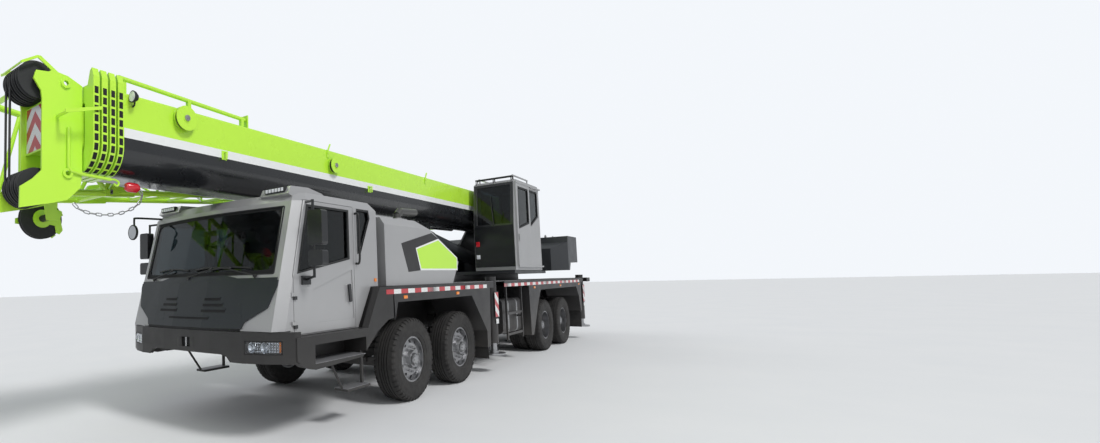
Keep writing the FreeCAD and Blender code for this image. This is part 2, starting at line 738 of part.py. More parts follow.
CAB_LEVELS = (  # height, corner station, nose station
    (cab_bottom, 2590, 2690), (1600, 2450, 2560), (2400, 2240, 2350))
cab_outer = loft("cab_outer", [cab_level(z, corner, nose, 0) for z, corner, nose in CAB_LEVELS]
                 + [cab_level(cab_roof, 2140, 2240, 70)])
cab_inner = loft("cab_inner", [
    cab_level(z, corner, nose, cab_wall) for z, corner, nose in (
        (cab_bottom + cab_wall, 2535, 2635), (1600, 2400, 2510), (2380, 2195, 2305))]
    + [cab_level(cab_roof - cab_wall, 2110, 2210, 120)])
DOOR = [(door_rear, cab_bottom + 5), (door_front, cab_bottom + 5), (door_front, sill_front),
        (2150, door_head), (door_rear, door_head)]
door_opening = prism("door_opening", "side", DOOR, cab_half - cab_wall - 10, cab_half + 50)
rear_window = [(1230, 1875), (1160, 1890), (960, 2300), (985, door_head - 15), (1230, door_head - 15)]
windscreen = [(-1090, 1665), (1090, 1665), (1075, 2345), (-1075, 2345)]
heel = [(700, 1000), (1250, 1000), (1250, cab_bottom + 10), (980, 1500), (700, 1500)]
heel_inside = [(700, 1000), (1310, 1000), (1310, cab_bottom + 20), (1010, 1550), (700, 1550)]
cab_room = cut("cab_room", cab_inner, [prism("heel_room", "side", heel_inside, -1400, 1400)])
cab_cuts = both("door_opening", door_opening) + [
    cab_room, prism("heel_cut", "side", heel, -1400, 1400),
            box("chin_cut", (2390, 2800), (-1400, 1400), (cab_bottom - 10, 1105)),
            prism("rear_window_opening", "side", rear_window, -1400, 1400),
            prism("windscreen_opening", "front", windscreen, 2000, 2900)]
shell = cut("cab_hollow", cab_outer, cab_cuts)
hinge_x = door_front - door_gap / 2
hinge_y = cab_half + 12
HINGES = (1120, 1400)  # lower end of each door hinge
pillar_hinges = []
for number, low in enumerate(HINGES):
    barrel = tube(f"pillar_hinge{number}", 12, 35, (hinge_x, hinge_y, low + 35 + running_gap), Z_AXIS)
    strap = box(f"pillar_strap{number}", (hinge_x + 1, hinge_x + 40), (cab_half - 10, hinge_y + 4),
                (low + 35 + running_gap, low + 70 + running_gap))
    pillar_hinges += both(f"pillar_hinge{number}", fuse(f"pillar_half{number}", [barrel, strap]))
horns = both("horn", prism("horn", "side", [
    (1560, cab_roof - 40), (1700, cab_roof + 30), (1930, cab_roof + 70), (2200, cab_roof + 60),
    (2245, cab_roof - 20), (2150, cab_roof - 60)], 720, 1130))
round_mirror = (2587, -1200, 2245)
mirror_arm = [
    strut("round_mirror_arm", (2200, -1090, 2425), (2560, -1200, 2425), 10),
    strut("round_mirror_drop", (2560, -1200, 2432), (2560, -1200, 2225), 10),
    tube("round_mirror_back", 92, 26, (2561, round_mirror[1], round_mirror[2]), X_AXIS)]
node("cab_shell", fuse("cab_body", [shell] + horns + pillar_hinges + mirror_arm))

# Doors: panels that fill their openings to a running gap, hinged at the front, with the mirrors

door_leaf = [(door_rear + door_gap, cab_bottom + 5 + door_gap),
             (door_front - door_gap, cab_bottom + 5 + door_gap), (door_front - door_gap, sill_front),
             (2150 - door_gap, door_head - door_gap), (door_rear + door_gap, door_head - door_gap)]
door_window = [(door_rear + 85, 1812), (2275, 1655), (2112, 2365), (door_rear + 85, 2365)]
door_recess = [(1347, 1696), (1327, 1157), (1967, 1157), (2054, 1380), (2036, 1493)]
recess_depth = size("door_recess_depth", 10)
MIRRORS = (("mirror", 1930, 2270), ("mirror_small", 1725, 1880))  # name, lower and upper end
mirror_x = size("mirror_station", 2200)
mirror_y = size("mirror_across", 1470)
for side_name, side in SIDES:
    name = f"door_{side_name}"
    skin = sorted((side * value_of(cab_half), side * value_of(cab_half - cab_wall)))
    wall = (cab_half - cab_wall, cab_half) if side > 0 else (-cab_half, cab_wall - cab_half)
    leaf = common(f"{name}_leaf", prism(f"{name}_panel", "side", door_leaf, *wall), cab_outer)
    opening = prism(f"{name}_window", "side", door_window, skin[0] - 20, skin[1] + 20)
    stay = mirror_y - 60
    head = (mirror_y - 90, mirror_y + 90) if side > 0 else (-mirror_y - 90, 90 - mirror_y)
    door_parts = []
    for number, low in enumerate(HINGES):
        door_parts.append(tube(f"{name}_hinge{number}", 12, 35, (hinge_x, hinge_y * side, low), Z_AXIS))
        strap_across = (cab_half - 10, hinge_y + 4) if side > 0 else (-hinge_y - 4, 10 - cab_half)
        door_parts.append(box(f"{name}_strap{number}", (hinge_x - 40, hinge_x - 4), strap_across,
                              (low, low + 35)))
    recess_wall = (cab_half - recess_depth, cab_half + 20)
    if side < 0:
        recess_wall = (-recess_wall[1], -recess_wall[0])
    recess = prism(f"{name}_recess", "side", door_recess, *recess_wall)
    arm_root = (cab_half - 10) * side
    arm_tip = stay * side
    door_parts += [
        cut(f"{name}_open", leaf, [opening, recess]),
        strut(f"{name}_arm_low", (mirror_x - 60, arm_root, 1590), (mirror_x, arm_tip, 1625), 13),
        box(f"{name}_foot", (mirror_x - 110, mirror_x + 20),
            (cab_half - 5, cab_half + 22) if side > 0 else (-cab_half - 22, 5 - cab_half), (1545, 1635)),
        strut(f"{name}_arm_high", (mirror_x - 90, arm_root, 2385), (mirror_x, arm_tip, 2372), 13),
        tube(f"{name}_stay", 14, 772, (mirror_x, stay * side, 1612), Z_AXIS)]
    for head_name, low, high in MIRRORS:
        corners = [(head[0], low), (head[1], low), (head[1], high), (head[0], high)]
        door_parts.append(prism(f"{name}_{head_name}", "front", corners, mirror_x - 40, mirror_x + 55,
                                rounds=(((0, 1, 2, 3), 28),)))
    grip_root = cab_half - recess_depth - 8
    grip = (grip_root, cab_half + 24) if side > 0 else (-cab_half - 24, -grip_root)
    door_parts.append(prism(f"{name}_handle", "side", [
        (1385, 1345), (1425, 1335), (1445, 1530), (1405, 1545)], *grip,
        rounds=(((0, 1, 2, 3), 14),)))
    node(name, fuse(f"{name}_all", door_parts))
    pane = (cab_half - 30, cab_half - 30 + glass_thick)
    if side < 0:
        pane = (-pane[1], -pane[0])
    node(f"door_glass_{side_name}", prism(f"{name}_pane", "side", door_window, *pane))

# Windscreen and rear side windows

screen_skin = loft("screen_skin", [cab_level(z, corner - 12, nose - 12, 12)
                                   for z, corner, nose in CAB_LEVELS])
screen_core = loft("screen_core", [cab_level(z, corner - 12 - glass_thick, nose - 12 - glass_thick, 30)
                                   for z, corner, nose in CAB_LEVELS])
screen_area = prism("screen_area", "front", windscreen, 2100, 2900)
screen = common("screen", cut("screen_layer", screen_skin, [screen_core]), screen_area)
rear_pane = prism("rear_pane", "side", rear_window, cab_half - 30, cab_half - 30 + glass_thick)
node("cab_glass", group("cab_glass_set", [screen] + both("rear_pane", rear_pane)))

# Dark mask over the lower front, lying on the cab's face, with its slots

mask_skin = loft("mask_skin", [cab_level(z, corner + 16, nose + 16, 0)
                               for z, corner, nose in CAB_LEVELS])
mask_area = prism("mask_area", "front", [
    (-800, 1125), (800, 1125), (830, 1190), (1090, 1330), (1165, 1545), (1165, 1600),
    (-1165, 1600), (-1165, 1545), (-1090, 1330), (-830, 1190)], 2300, 2900)
mask_plate = common("mask_plate", cut("mask_layer", mask_skin, [cab_outer]), mask_area)
mask_slots = []
for number, height in enumerate((1190, 1240, 1290, 1340)):
    for side_name, side in SIDES:
        across = sorted((side * 470.0, side * (790.0 - number * 15)))
        mask_slots.append(box(f"mask_slot{number}_{side_name}", (2400, 2900), across,
                              (height, height + 22)))
node("front_mask", cut("mask_slotted", mask_plate, mask_slots))

# Cab inside: dashboard with the steering wheel, and two seats on the floor

cab_floor = cab_bottom + cab_wall
dash = prism("dash", "side", [(2080, 1500), (2180, cab_floor), (2400, cab_floor), (2400, 1560),
                              (2330, 1640), (2120, 1640)], -1090, 1090)
column = strut("steering_column", (2160, 620, 1480), (1955, 620, 1730), 30)
wheel = doc.addObject("Part::Torus", "steering_wheel")
wheel.Radius1 = 215
wheel.Radius2 = 15
wheel.Placement.Rotation = FreeCAD.Rotation(Z_AXIS, FreeCAD.Vector(-205, 0, 250))
move_to(wheel, 1955, 620, 1730)
spoke = box("steering_spoke", (1930, 1980), (410, 830), (1718, 1742))
interior = [fuse("dash_set", [dash, column, wheel, spoke])]
for number, across in enumerate((620, -620)):
    seat = [box(f"seat{number}_base", (1420, 1760), (across - 180, across + 180), (cab_floor, 1420)),
            prism(f"seat{number}_cushion", "side", [
                (1340, 1400), (1860, 1430), (1870, 1520), (1500, 1500), (1380, 2120), (1290, 2110)],
                across - 250, across + 250),
            box(f"seat{number}_headrest", (1290, 1370), (across - 130, across + 130), (2090, 2290))]
    interior.append(fuse(f"seat{number}", seat))
node("cab_interior", group("cab_inside", interior))

# Bumper: a folded, swept front wall and the side skirts with their step recesses

BUMPER_PLAN = [(2380, bumper_half), (2450, bumper_half - 15), (2590, 1100), (2665, 860),
               (2690, 400)]  # half of the outline seen from above, from the left rear to the middle
plan = BUMPER_PLAN + [(x, -y) for x, y in reversed(BUMPER_PLAN)]
inside = [(x - bumper_sheet, y - bumper_sheet * 0.6) for x, y in BUMPER_PLAN]
inside = inside + [(x, -y) for x, y in reversed(inside)]
bumper_low, bumper_high = 800, 1100
wall = cut("bumper_wall", prism("bumper_outer", "top", plan, bumper_low, bumper_high),
           [prism("bumper_inner", "top", inside, bumper_low - 10, bumper_high + 10)])
lamp_area = both("lamp_area", box("lamp_area", (2300, 2800), (880, 1250), (888, 1018)))
bumper_cuts = lamp_area + [
    prism("bumper_rise", "front", [(-640, 850), (-560, 870), (560, 870), (640, 850), (700, 790),
                                   (-700, 790)], 2300, 2800),
    box("tow_recess", (2670, 2800), (-150, 150), (920, 1020))]
skirt = prism("skirt", "side", [
    (2440, 1045), (2440, 830), (2336, 757), (2173, 715), (1359, 745), (1058, 985), (814, 1105),
    (deck_front, 1120), (deck_front, deck_top - 5), (975, deck_top - 5), (1245, 1045)],
    bumper_half - 85, bumper_half)
step_back = box("step_back", (1270, 2195), (bumper_half - 330, bumper_half - 85), (750, 975))
step_room = box("step_room", (1290, 2175), (bumper_half - 310, bumper_half + 10), (770, 955))
heel_block = prism("heel_block", "side", [
    (deck_front, 1125), (1210, 1050), (960, deck_top - 5), (deck_front, deck_top - 5)],
    950, bumper_half - 85)
sill = box("sill_beam", (1250, 2440), (rail_outer, bumper_half - 85), (985, 1045))
swing_arms = [strut("swing_arm_front", (1780, 1230, 760), (1540, 1210, 410), 14),
              box("swing_hanger", (1130, 1160), (1180, 1210), (400, 760)),
              box("swing_tread", (1110, 1550), (1110, 1290), (385, 410))]
side_parts = [cut("skirt_open", fuse("skirt_box", [skirt, step_back]), [step_room]),
              heel_block, sill] + swing_arms
bumper_side = fuse("bumper_side", side_parts)
brackets = box("bumper_bracket", (2400, 2655), (rail_outer - rail_thick, rail_outer), (880, 1000))
node("bumper", fuse("bumper_all", [cut("bumper_front", wall, bumper_cuts)]
                    + both("bumper_side", bumper_side) + both("bumper_bracket", brackets)))
lamp = common("lamp_left", cut("lamp_wall", prism("lamp_outer", "top", plan, bumper_low, bumper_high),
                               [prism("lamp_inner", "top", inside, bumper_low - 10, bumper_high + 10)]),
              box("lamp_window", (2300, 2800), (880, 1250), (888, 1018)))
node("headlamps", group("lamp_pair", both("lamp", lamp)))

# Tanks and side rails between the front outriggers and the rear wheels

tank_outer = size("tank_outer", 1260)
side_front = -3080
side_rear = -4180
tank = prism("tank", "front", [(rail_outer + 60, 560), (tank_outer, 560), (tank_outer, 1180),
                               (rail_outer + 60, 1180)], side_rear + 60, side_front - 60,
             rounds=(((0, 1, 2, 3), 90),))
equipment = [tank]
for number, station in enumerate((-3350, -3900)):
    equipment.append(box(f"tank_bracket{number}", (station - 40, station + 40),
                         (rail_outer, rail_outer + 70), (860, 1150)))
rails = [box("rail_front_post", (side_front - 30, side_front), (1335, 1365), (470, deck_low)),
         box("rail_rear_post", (side_rear + 300, side_rear + 330), (1335, 1365), (470, deck_low))]
for number, height in enumerate((570, 930)):
    rails.append(box(f"rail_bar{number}", (side_rear + 300, side_front), (1340, 1360),
                     (height - 20, height + 20)))
rails.append(box("rail_stay", (side_rear + 300, side_rear + 330), (tank_outer - 20, 1345), (840, 870)))
left_side = fuse("side_left", equipment + rails)
node("side_equipment", group("side_set", both("side_left", left_side)))

# Turntable: bearing ring, platform, the two side plates with pivot stubs, the luffing foot and winches

ring_top = ring_base_top + 80
platform = prism("platform", "top", [
    (-3950, 520), (-3950, 1240), (-5560, 1240), (-5640, 780), (-7450, 780), (-8050, 560),
    (-8050, -560), (-7450, -1120), (-4620, -1120), (-4550, -700), (-4550, 520)],
    ring_top, platform_top)
side_plate = prism("side_plate", "side", [
    (-4560, platform_top - 10), (-4640, 1800), (-5700, 2700), (-6700, 3040), (-7230, 3190),
    (-7560, 3190), (-7650, 3040), (-7600, 2500), (-7300, platform_top - 10)],
    side_plate_inner, side_plate_inner + plate_thick)
pivot_stub = tube("pivot_stub", 60, side_plate_inner - boom_half + 20,
                  (pivot_x, boom_half - 12, pivot_z), Y_AXIS)
foot_lug = prism("foot_lug", "side", [
    (luff_foot_x - 150, platform_top - 10), (luff_foot_x + 150, platform_top - 10),
    (luff_foot_x + 95, luff_foot_z + 95), (luff_foot_x - 95, luff_foot_z + 95)], 92, 132)
foot_pin = tube("foot_pin", luff_pin_radius, 264, (luff_foot_x, -132, luff_foot_z), Y_AXIS)
super_parts = [tube("bearing_ring", ring_radius, ring_top - ring_base_top - running_gap,
                    (slew_x, 0, ring_base_top + running_gap), Z_AXIS, ring_inner),
               platform, foot_pin]
super_parts += both("side_plate", side_plate) + both("pivot_stub", pivot_stub)
super_parts += both("foot_lug", foot_lug)
for number, station in enumerate((-6480, -7080)):
    drum = ring(f"winch{number}", [(-side_plate_inner - 5, 0), (-side_plate_inner - 5, 70),
                                   (-300, 70), (-300, 245), (-275, 245), (-275, 180), (275, 180),
                                   (275, 245), (300, 245), (300, 70), (side_plate_inner + 5, 70),
                                   (side_plate_inner + 5, 0)])
    move_to(drum, station, 0, 1975)
    super_parts.append(drum)
node("turntable", fuse("turntable_body", super_parts))

# Machinery cover on the right and the counterweight behind

cover = prism("cover", "front", [
    (-1120, platform_top), (-side_plate_inner - plate_thick, platform_top),
    (-side_plate_inner - plate_thick, 2470), (-1050, 2470), (-1120, 2400)], -7370, -5560)
cover_front = prism("cover_front", "side", [
    (-5560, platform_top), (-4640, platform_top), (-4640, 1850), (-5000, 2250), (-5560, 2470)],
    -1080, -side_plate_inner - plate_thick)
louvres = [box(f"louvre{number}", (station - 180, station + 180), (-1130, -1105), (1850, 2300))
           for number, station in enumerate((-5850, -6350, -6850))]
node("machinery_cover", fuse("cover_all", [cut("cover_vented", cover, louvres), cover_front]))
counter_side = prism("counter_side", "side", [
    (-7700, platform_top), (-7700, 2250), (-7950, 2400), (-7980, 2550), (-9050, 2550), (-9150, 2450),
    (-9150, 2000), (-9020, 1900), (-8150, 1900), (-8050, platform_top)], -1200, 1200)
counter_plan = prism("counter_plan", "top", [
    (-7650, 780), (-7950, 1190), (-8800, 1190), (-9160, 700), (-9160, -700), (-8800, -1190),
    (-7950, -1190), (-7650, -780)], 1600, 2600)
node("counterweight", common("counter_body", counter_side, counter_plan))

# Operator's cab on the left of the boom, with its sliding door

op_inner = 500
op_outer = size("operator_cab_outer", 1280)
op_wall = 45
OP_SIDE = [(-3900, platform_top), (-3900, 2560), (-3985, 3400), (-4080, 3450), (-5420, 3450),
           (-5490, 3380), (-5490, platform_top)]
op_block = prism("op_block", "side", OP_SIDE, op_inner, op_outer)
op_room = prism("op_room", "side", [
    (-3945, 1760), (-3945, 2560), (-4030, 3380), (-4100, 3405), (-5400, 3405), (-5445, 3360),
    (-5445, 1760)], op_inner + op_wall, op_outer - op_wall)
op_screen = [(op_inner + 60, 2590), (op_outer - 60, 2590), (op_outer - 60, 3340), (op_inner + 60, 3340)]
op_side_window = [(-4860, 2560), (-5390, 2800), (-5390, 3330), (-4860, 3330)]
op_cuts = [op_room, prism("op_screen_cut", "front", op_screen, -4200, -3800),
           box("op_door_cut", (-4740, -4040), (op_outer - 60, op_outer + 10), (1800, 3350)),
           prism("op_side_cut", "side", op_side_window, op_outer - 60, op_outer + 10),
           box("op_inner_window", (-5300, -4200), (op_inner - 10, op_inner + 60), (2600, 3330))]
op_seat = prism("op_seat", "side", [
    (-4500, 1750), (-4500, 2150), (-4400, 2180), (-4400, 2270), (-4850, 2240), (-4980, 2900),
    (-5060, 2890), (-5000, 2150), (-4900, 1750)], 660, 1120)
op_console = box("op_console", (-4350, -4050), (760, 1020), (1750, 2350))
op_rail = box("op_door_rail", (-5480, -4000), (op_outer - 5, op_outer + 42), (3372, 3400))
op_sill = box("op_door_sill", (-5480, -4000), (op_outer - 5, op_outer + 42), (1755, 1785))
rack = []
for number, across in enumerate((op_inner + 60, op_outer - 60)):
    rack.append(box(f"rack_bar{number}", (-5000, -4120), (across - 12, across + 12), (3526, 3550)))
    for post, station in enumerate((-4980, -4160)):
        rack.append(box(f"rack_post{number}_{post}", (station - 10, station + 10),
                        (across - 10, across + 10), (3440, 3530)))
node("operator_cab", fuse("op_body", [cut("op_shell", op_block, op_cuts), op_seat, op_console,
                                      op_rail, op_sill] + rack))
op_pane_front = common("op_pane_front", prism("op_pane_slab", "side", [
    (-3910, 2500), (-3920, 2500), (-4012, 3400), (-4002, 3400)], op_inner, op_outer),
    prism("op_pane_area", "front", op_screen, -4200, -3800))
op_pane_side = prism("op_pane_side", "side", op_side_window, op_outer - 25, op_outer - 17)
op_pane_inner = box("op_pane_inner", (-5300, -4200), (op_inner + 15, op_inner + 23), (2600, 3330))
node("operator_cab_glass", group("op_glass", [op_pane_front, op_pane_side, op_pane_inner]))
op_door_panel = box("op_door_panel", (-4780, -4000), (op_outer + running_gap, op_outer + 34),
                    (1785 + running_gap, 3372 - running_gap))
op_door_hole = [(-4080, 2480), (-4110, 3310), (-4700, 3310), (-4700, 2620)]
op_handle = box("op_door_handle", (-4060, -4030), (op_outer + 30, op_outer + 55), (2250, 2380))
node("operator_door", fuse("op_door_all", [
    cut("op_door_open", op_door_panel, [prism("op_door_window", "side", op_door_hole, op_outer - 60,
                                              op_outer + 60)]), op_handle]))

# Boom: a base section and four sliding sections, rounded below, each with a collar at its mouth


def boom_outline(inset):
    """A section's outline seen from the front, the same distance inside the base section's all round."""
    half = boom_half - inset
    return [(-half, boom_bottom + inset), (half, boom_bottom + inset), (half, boom_top - inset),
            (-half, boom_top - inset)]


def boom_solid(name, inset, rear, front):
    """A section's outer form between two stations."""
    return prism(name, "front", boom_outline(inset), rear, front,
                 rounds=(((0, 1), boom_round - inset), ((2, 3), boom_top_round)))


boom_round = size("boom_round", 260)
boom_top_round = size("boom_top_round", 25)
section_tail = -size("section_tail_back", 7300)
pad_gap = boom_step - boom_wall - running_gap
fin_top = size("collar_fin_top", 3500)
COLLAR = [(-collar_half, boom_bottom - 12), (collar_half, boom_bottom - 12),
          (collar_half, boom_top + 70), (collar_half - 30, fin_top), (collar_half - 62, fin_top - 20),
          (collar_half - 105, boom_top + 12), (-collar_half + 105, boom_top + 12),
          (-collar_half + 62, fin_top - 20), (-collar_half + 30, fin_top), (-collar_half, boom_top + 70)]
SECTIONS = (("boom_base", 0), ("boom_section_2", 1), ("boom_section_3", 2), ("boom_section_4", 3),
            ("boom_section_5", 4))  # name, place in the nest
boom_parts = {}
for name, place in SECTIONS:
    inset = boom_step * place
    rear = boom_tail if place == 0 else section_tail + 60 * place
    mouth = boom_front + collar_pitch * place
    if place == 4:
        mouth = boom_front + collar_pitch * place - collar_thick + 8
    outer = boom_solid(f"{name}_outer", inset, rear, mouth)
    bore = boom_solid(f"{name}_bore", inset + boom_wall, rear - 1, mouth + 1)
    parts = [cut(f"{name}_shell", outer, [bore])]
    if place < 4:
        ring_block = prism(f"{name}_collar_block", "front", COLLAR, mouth - collar_thick, mouth,
                           rounds=(((0, 1), boom_round - 10),))
        ring_hole = boom_solid(f"{name}_collar_hole", inset + boom_wall / 2,
                               mouth - collar_thick - 1, mouth + 1)
        parts.append(cut(f"{name}_collar", ring_block, [ring_hole]))
        half = boom_half - inset
        low = boom_bottom + inset + boom_wall
        high = boom_top - inset - boom_wall
        pads = (("low", (-110, 110), (low - 2, low + pad_gap)),
                ("high", (-140, 140), (high - pad_gap, high + 2)),
                ("left", (half - boom_wall - pad_gap, half - boom_wall + 2), (3000, 3120)),
                ("right", (boom_wall - half - 2, boom_wall - half + pad_gap), (3000, 3120)))
        for pad_name, across, heights in pads:
            parts.append(box(f"{name}_pad_{pad_name}", (mouth - 320, mouth - 120), across, heights))
    boom_parts[name] = parts

# Base section: pivot bosses at the tail and the luffing clevis below

base_parts = boom_parts["boom_base"]
boss = tube("pivot_boss", 120, 16, (pivot_x, boom_half - 4, pivot_z), Y_AXIS)
clevis = prism("clevis", "side", [
    (-4300, boom_bottom + 4), (-4200, 2560), (luff_eye_x - 160, 2540),
    (luff_eye_x - 100, luff_eye_z - 70), (luff_eye_x - 60, luff_eye_z - 105),
    (luff_eye_x + 60, luff_eye_z - 105), (luff_eye_x + 110, luff_eye_z - 60),
    (luff_eye_x + 220, boom_bottom + 4)], 100, 135)
pivot_bore = tube("pivot_bore", 60 + running_gap, 900, (pivot_x, -450, pivot_z), Y_AXIS)
GUIDE_FRONT = (3650, 320, 3505)
GUIDE_REAR = (2070, 320, 3450)
guide = [strut("guide_tube", GUIDE_FRONT, GUIDE_REAR, 22)]
for number, station in enumerate((3600, 2860, 2120)):
    guide.append(box(f"guide_post{number}", (station - 20, station + 20), (300, 340),
                     (boom_top - 5, 3470)))
guide.append(box("guide_end_plate", (2050, 2066), (270, 360), (boom_top - 5, 3500)))
REELS = (("front", 2980, 3240, 125), ("rear", 520, 3140, 105))  # name, station, height, radius
for name, station, height, radius in REELS:
    guide.append(tube(f"reel_{name}_hub", 45, 75, (station, boom_half - 5, height), Y_AXIS))
    for flange_name, place in (("inner", 12), ("outer", 58)):
        guide.append(tube(f"reel_{name}_{flange_name}", radius, 8,
                          (station, boom_half + place, height), Y_AXIS))
base_body = fuse("boom_base_body", base_parts + both("pivot_boss", boss) + both("clevis", clevis) + guide)
node("boom_base", cut("boom_base_bored", base_body, [pivot_bore]))
for name in ("boom_section_2", "boom_section_3", "boom_section_4"):
    node(name, fuse(f"{name}_body", boom_parts[name]))

# Head on the fifth section: cheek plates with bosses and guards, a front plate, the jib's hinge tube,
# and sheaves on two shafts and below at the right

HEAD = [(3942, 3363), (4070, 3421), (4209, 3439), (4236, 3415), (4340, 3400), (4360, 3330),
        (4300, 3240), (4290, 3168), (4290, 2560), (4360, 2480), (4457, 2404), (4460, 2230),
        (4201, 2291), (4071, 2330), (3957, 2448), (3942, 2589)]
HEAD_GUARD = [(4140, 3425), (4300, 3535), (4330, 3532), (4458, 3448), (4452, 3428), (4322, 3512),
              (4190, 3420)]
HEAD_ARM = [(4185, 3025), (4185, 3060), (3862, 3156), (3862, 3126)]
ROOSTER = (4013, 2233, 190)  # station, height and radius of the small sheave below the head
ROOSTER_GUARD = [(4221, 2180), (4221, 2230), (4060, 2290), (3800, 2335), (3780, 2290), (3960, 2190),
                 (3850, 2090), (3885, 2060), (4040, 2170)]
ROOSTER_HANGER = [(3960, 2460), (4090, 2400), (4060, 2195), (3970, 2195)]
head_inner = size("head_inner", 202)
head_outer = head_inner + 20
cheek = prism("head_cheek", "side", HEAD, head_inner, head_outer)
guard = prism("head_guard", "side", HEAD_GUARD, head_inner + 3, head_outer - 5)
guard_rod = tube("head_guard_rod", 8, head_inner * 2 + 30, (4450, -head_inner - 15, 3440), Y_AXIS)
arm_cross = tube("head_arm_cross", 14, 198, (4165, head_outer - 5, 3042), Y_AXIS)
arm_bar = prism("head_arm_bar", "side", HEAD_ARM, collar_half + clear_gap, collar_half + clear_gap + 12)
head_arm = fuse("head_arm", [arm_cross, arm_bar])
head_plate = box("head_front_plate", (4235, 4250), (-head_inner, head_inner), (2756, 3172))
head_floor = box("head_floor", (3950, 4240), (-head_inner, head_inner), (2776, 2800))
head_wall = box("head_wall", (3944, 3960), (-head_inner, head_inner), (2775, 3180))
hinge_tube = tube("jib_hinge_tube", 26, 690, (4200, -300, 2640), Z_AXIS)
head_parts = [head_plate, head_floor, head_wall, guard_rod, hinge_tube]
for number, height in enumerate((2670, 3290)):
    head_parts.append(box(f"jib_hinge_lug{number}", (4165, 4235), (-332, -head_outer + 2),
                          (height - 16, height + 16)))
head_parts.append(prism("rooster_hanger", "side", ROOSTER_HANGER, -head_outer, -head_inner))
head_parts.append(prism("rooster_guard", "side", ROOSTER_GUARD, -502, -490))
head_parts.append(box("rooster_guard_stay", (4080, 4110), (-495, -head_outer + 2), (2430, 2450)))
head_parts.append(box("rooster_guard_post", (4080, 4110), (-502, -490), (2240, 2450)))
jib_pin_radius = size("jib_pin_radius", 22)
JIB_PINS = (("upper", 4095, 3350), ("lower", 4075, 2560))  # name, station, height
for name, station, height in JIB_PINS:
    head_parts += both(f"jib_boss_{name}", tube(f"jib_boss_{name}", 44, 20,
                                                (station, head_outer - 2, height), Y_AXIS))
section_5 = fuse("section_5_body", boom_parts["boom_section_5"] + both("head_cheek", cheek)
                 + both("head_guard", guard) + both("head_arm", head_arm) + head_parts)
pin_holes = [tube(f"jib_pin_{name}", jib_pin_radius, 600, (station, -300, height), Y_AXIS)
             for name, station, height in JIB_PINS]
node("boom_section_5", cut("section_5_bored", section_5, pin_holes))


def sheave(name, station, across, height, radius):
    """A grooved rope sheave on its own place along a shaft."""
    disc = ring(name, [(-28, 30), (28, 30), (28, radius), (20, radius), (8, radius - 26),
                       (-8, radius - 26), (-20, radius), (-28, radius)])
    move_to(disc, station, across, height)
    return disc


SHEAVE_SHAFTS = (("top", 4300, 3345, 160), ("low", 4300, 2430, 158))  # name, station, height, radius
shafts = []
for name, station, height, radius in SHEAVE_SHAFTS:
    stack = [tube(f"{name}_shaft", 45, head_inner * 2, (station, -head_inner, height), Y_AXIS)]
    for number, across in enumerate((-130, -45, 45, 130)):
        stack.append(sheave(f"{name}_sheave{number}", station, across, height, radius))
    shafts.append(fuse(f"{name}_sheaves", stack))
rooster_shaft = tube("rooster_shaft", 32, 490 - head_outer, (ROOSTER[0], -490, ROOSTER[1]), Y_AXIS)
rooster_sheave = sheave("rooster_sheave", ROOSTER[0], -450, ROOSTER[1], ROOSTER[2])
shafts.append(fuse("rooster_sheaves", [rooster_shaft, rooster_sheave]))
node("boom_sheaves", group("sheave_set", shafts))

# Luffing cylinder: barrel on the platform's foot pin, rod with its eye between the boom's clevis plates

foot = FreeCAD.Vector(value_of(luff_foot_x), 0, value_of(luff_foot_z))
eye = FreeCAD.Vector(value_of(luff_eye_x), 0, value_of(luff_eye_z))
luff_length = (eye - foot).Length
along = (eye - foot).normalize()


def on_cylinder(distance):
    """A point on the cylinder's axis at a distance from its foot pin."""
    spot = foot + along * distance
    return (spot.x, 0, spot.z)


barrel_end = luff_length - 300
barrel_start = 210
bore_start = 230
barrel = [tube("barrel_tube", luff_barrel_radius, barrel_end - barrel_start,
               on_cylinder(barrel_start), along),
          tube("barrel_neck", 85, 155, on_cylinder(60), along),
          tube("barrel_gland", luff_barrel_radius + 12, 90, on_cylinder(barrel_end - 90), along),
          tube("barrel_eye", 115, 180, (luff_foot_x, -90, luff_foot_z), Y_AXIS)]
barrel_cuts = [tube("barrel_bore", luff_rod_radius + running_gap, barrel_end,
                    on_cylinder(bore_start), along),
               tube("barrel_pin_hole", luff_pin_radius + running_gap, 300,
                    (luff_foot_x, -150, luff_foot_z), Y_AXIS)]
node("luff_barrel", cut("barrel_all", fuse("barrel_body", barrel), barrel_cuts))
rod_start = bore_start + 20
rod_parts = [tube("rod_bar", luff_rod_radius, luff_length - rod_start, on_cylinder(rod_start), along),
             tube("rod_eye", 105, 150, (luff_eye_x, -75, luff_eye_z), Y_AXIS),
             tube("rod_pin", luff_pin_radius, (100 - running_gap) * 2,
                  (luff_eye_x, running_gap - 100, luff_eye_z), Y_AXIS)]
node("luff_rod", fuse("rod_all", rod_parts))

# Stowed lattice jib on two brackets at the boom's right side: a rear section, a front section that ends
# in the knee, and the connecting fork with its stay bar, pinned face to face at their lugs

chord_radius = size("jib_chord_radius", 32)
brace_radius = size("jib_brace_radius", 16)
jib_inner = -size("jib_inner_across", 560)
jib_outer = -size("jib_outer_across", 1180)
jib_middle = (jib_inner + jib_outer) / 2
JIB_SIDES = (("inner", jib_inner), ("outer", jib_outer))
lug_length = 60
lug_half = 38
JIB_SPLICE = 1000  # station where the rear section is pinned to the front one
JIB_KNEE = 3250  # station where the fork is pinned to the front section
JIB_LOW = ((3160, 2600), (1140, 2766), (-5000, 2716))  # lower chord's bends: station, height
JIB_HIGH = ((3160, 2690), (1520, 3372), (-5000, 3191))  # upper chord's bends
FORK_LOW = ((4200, 2500), (3250, 2578))


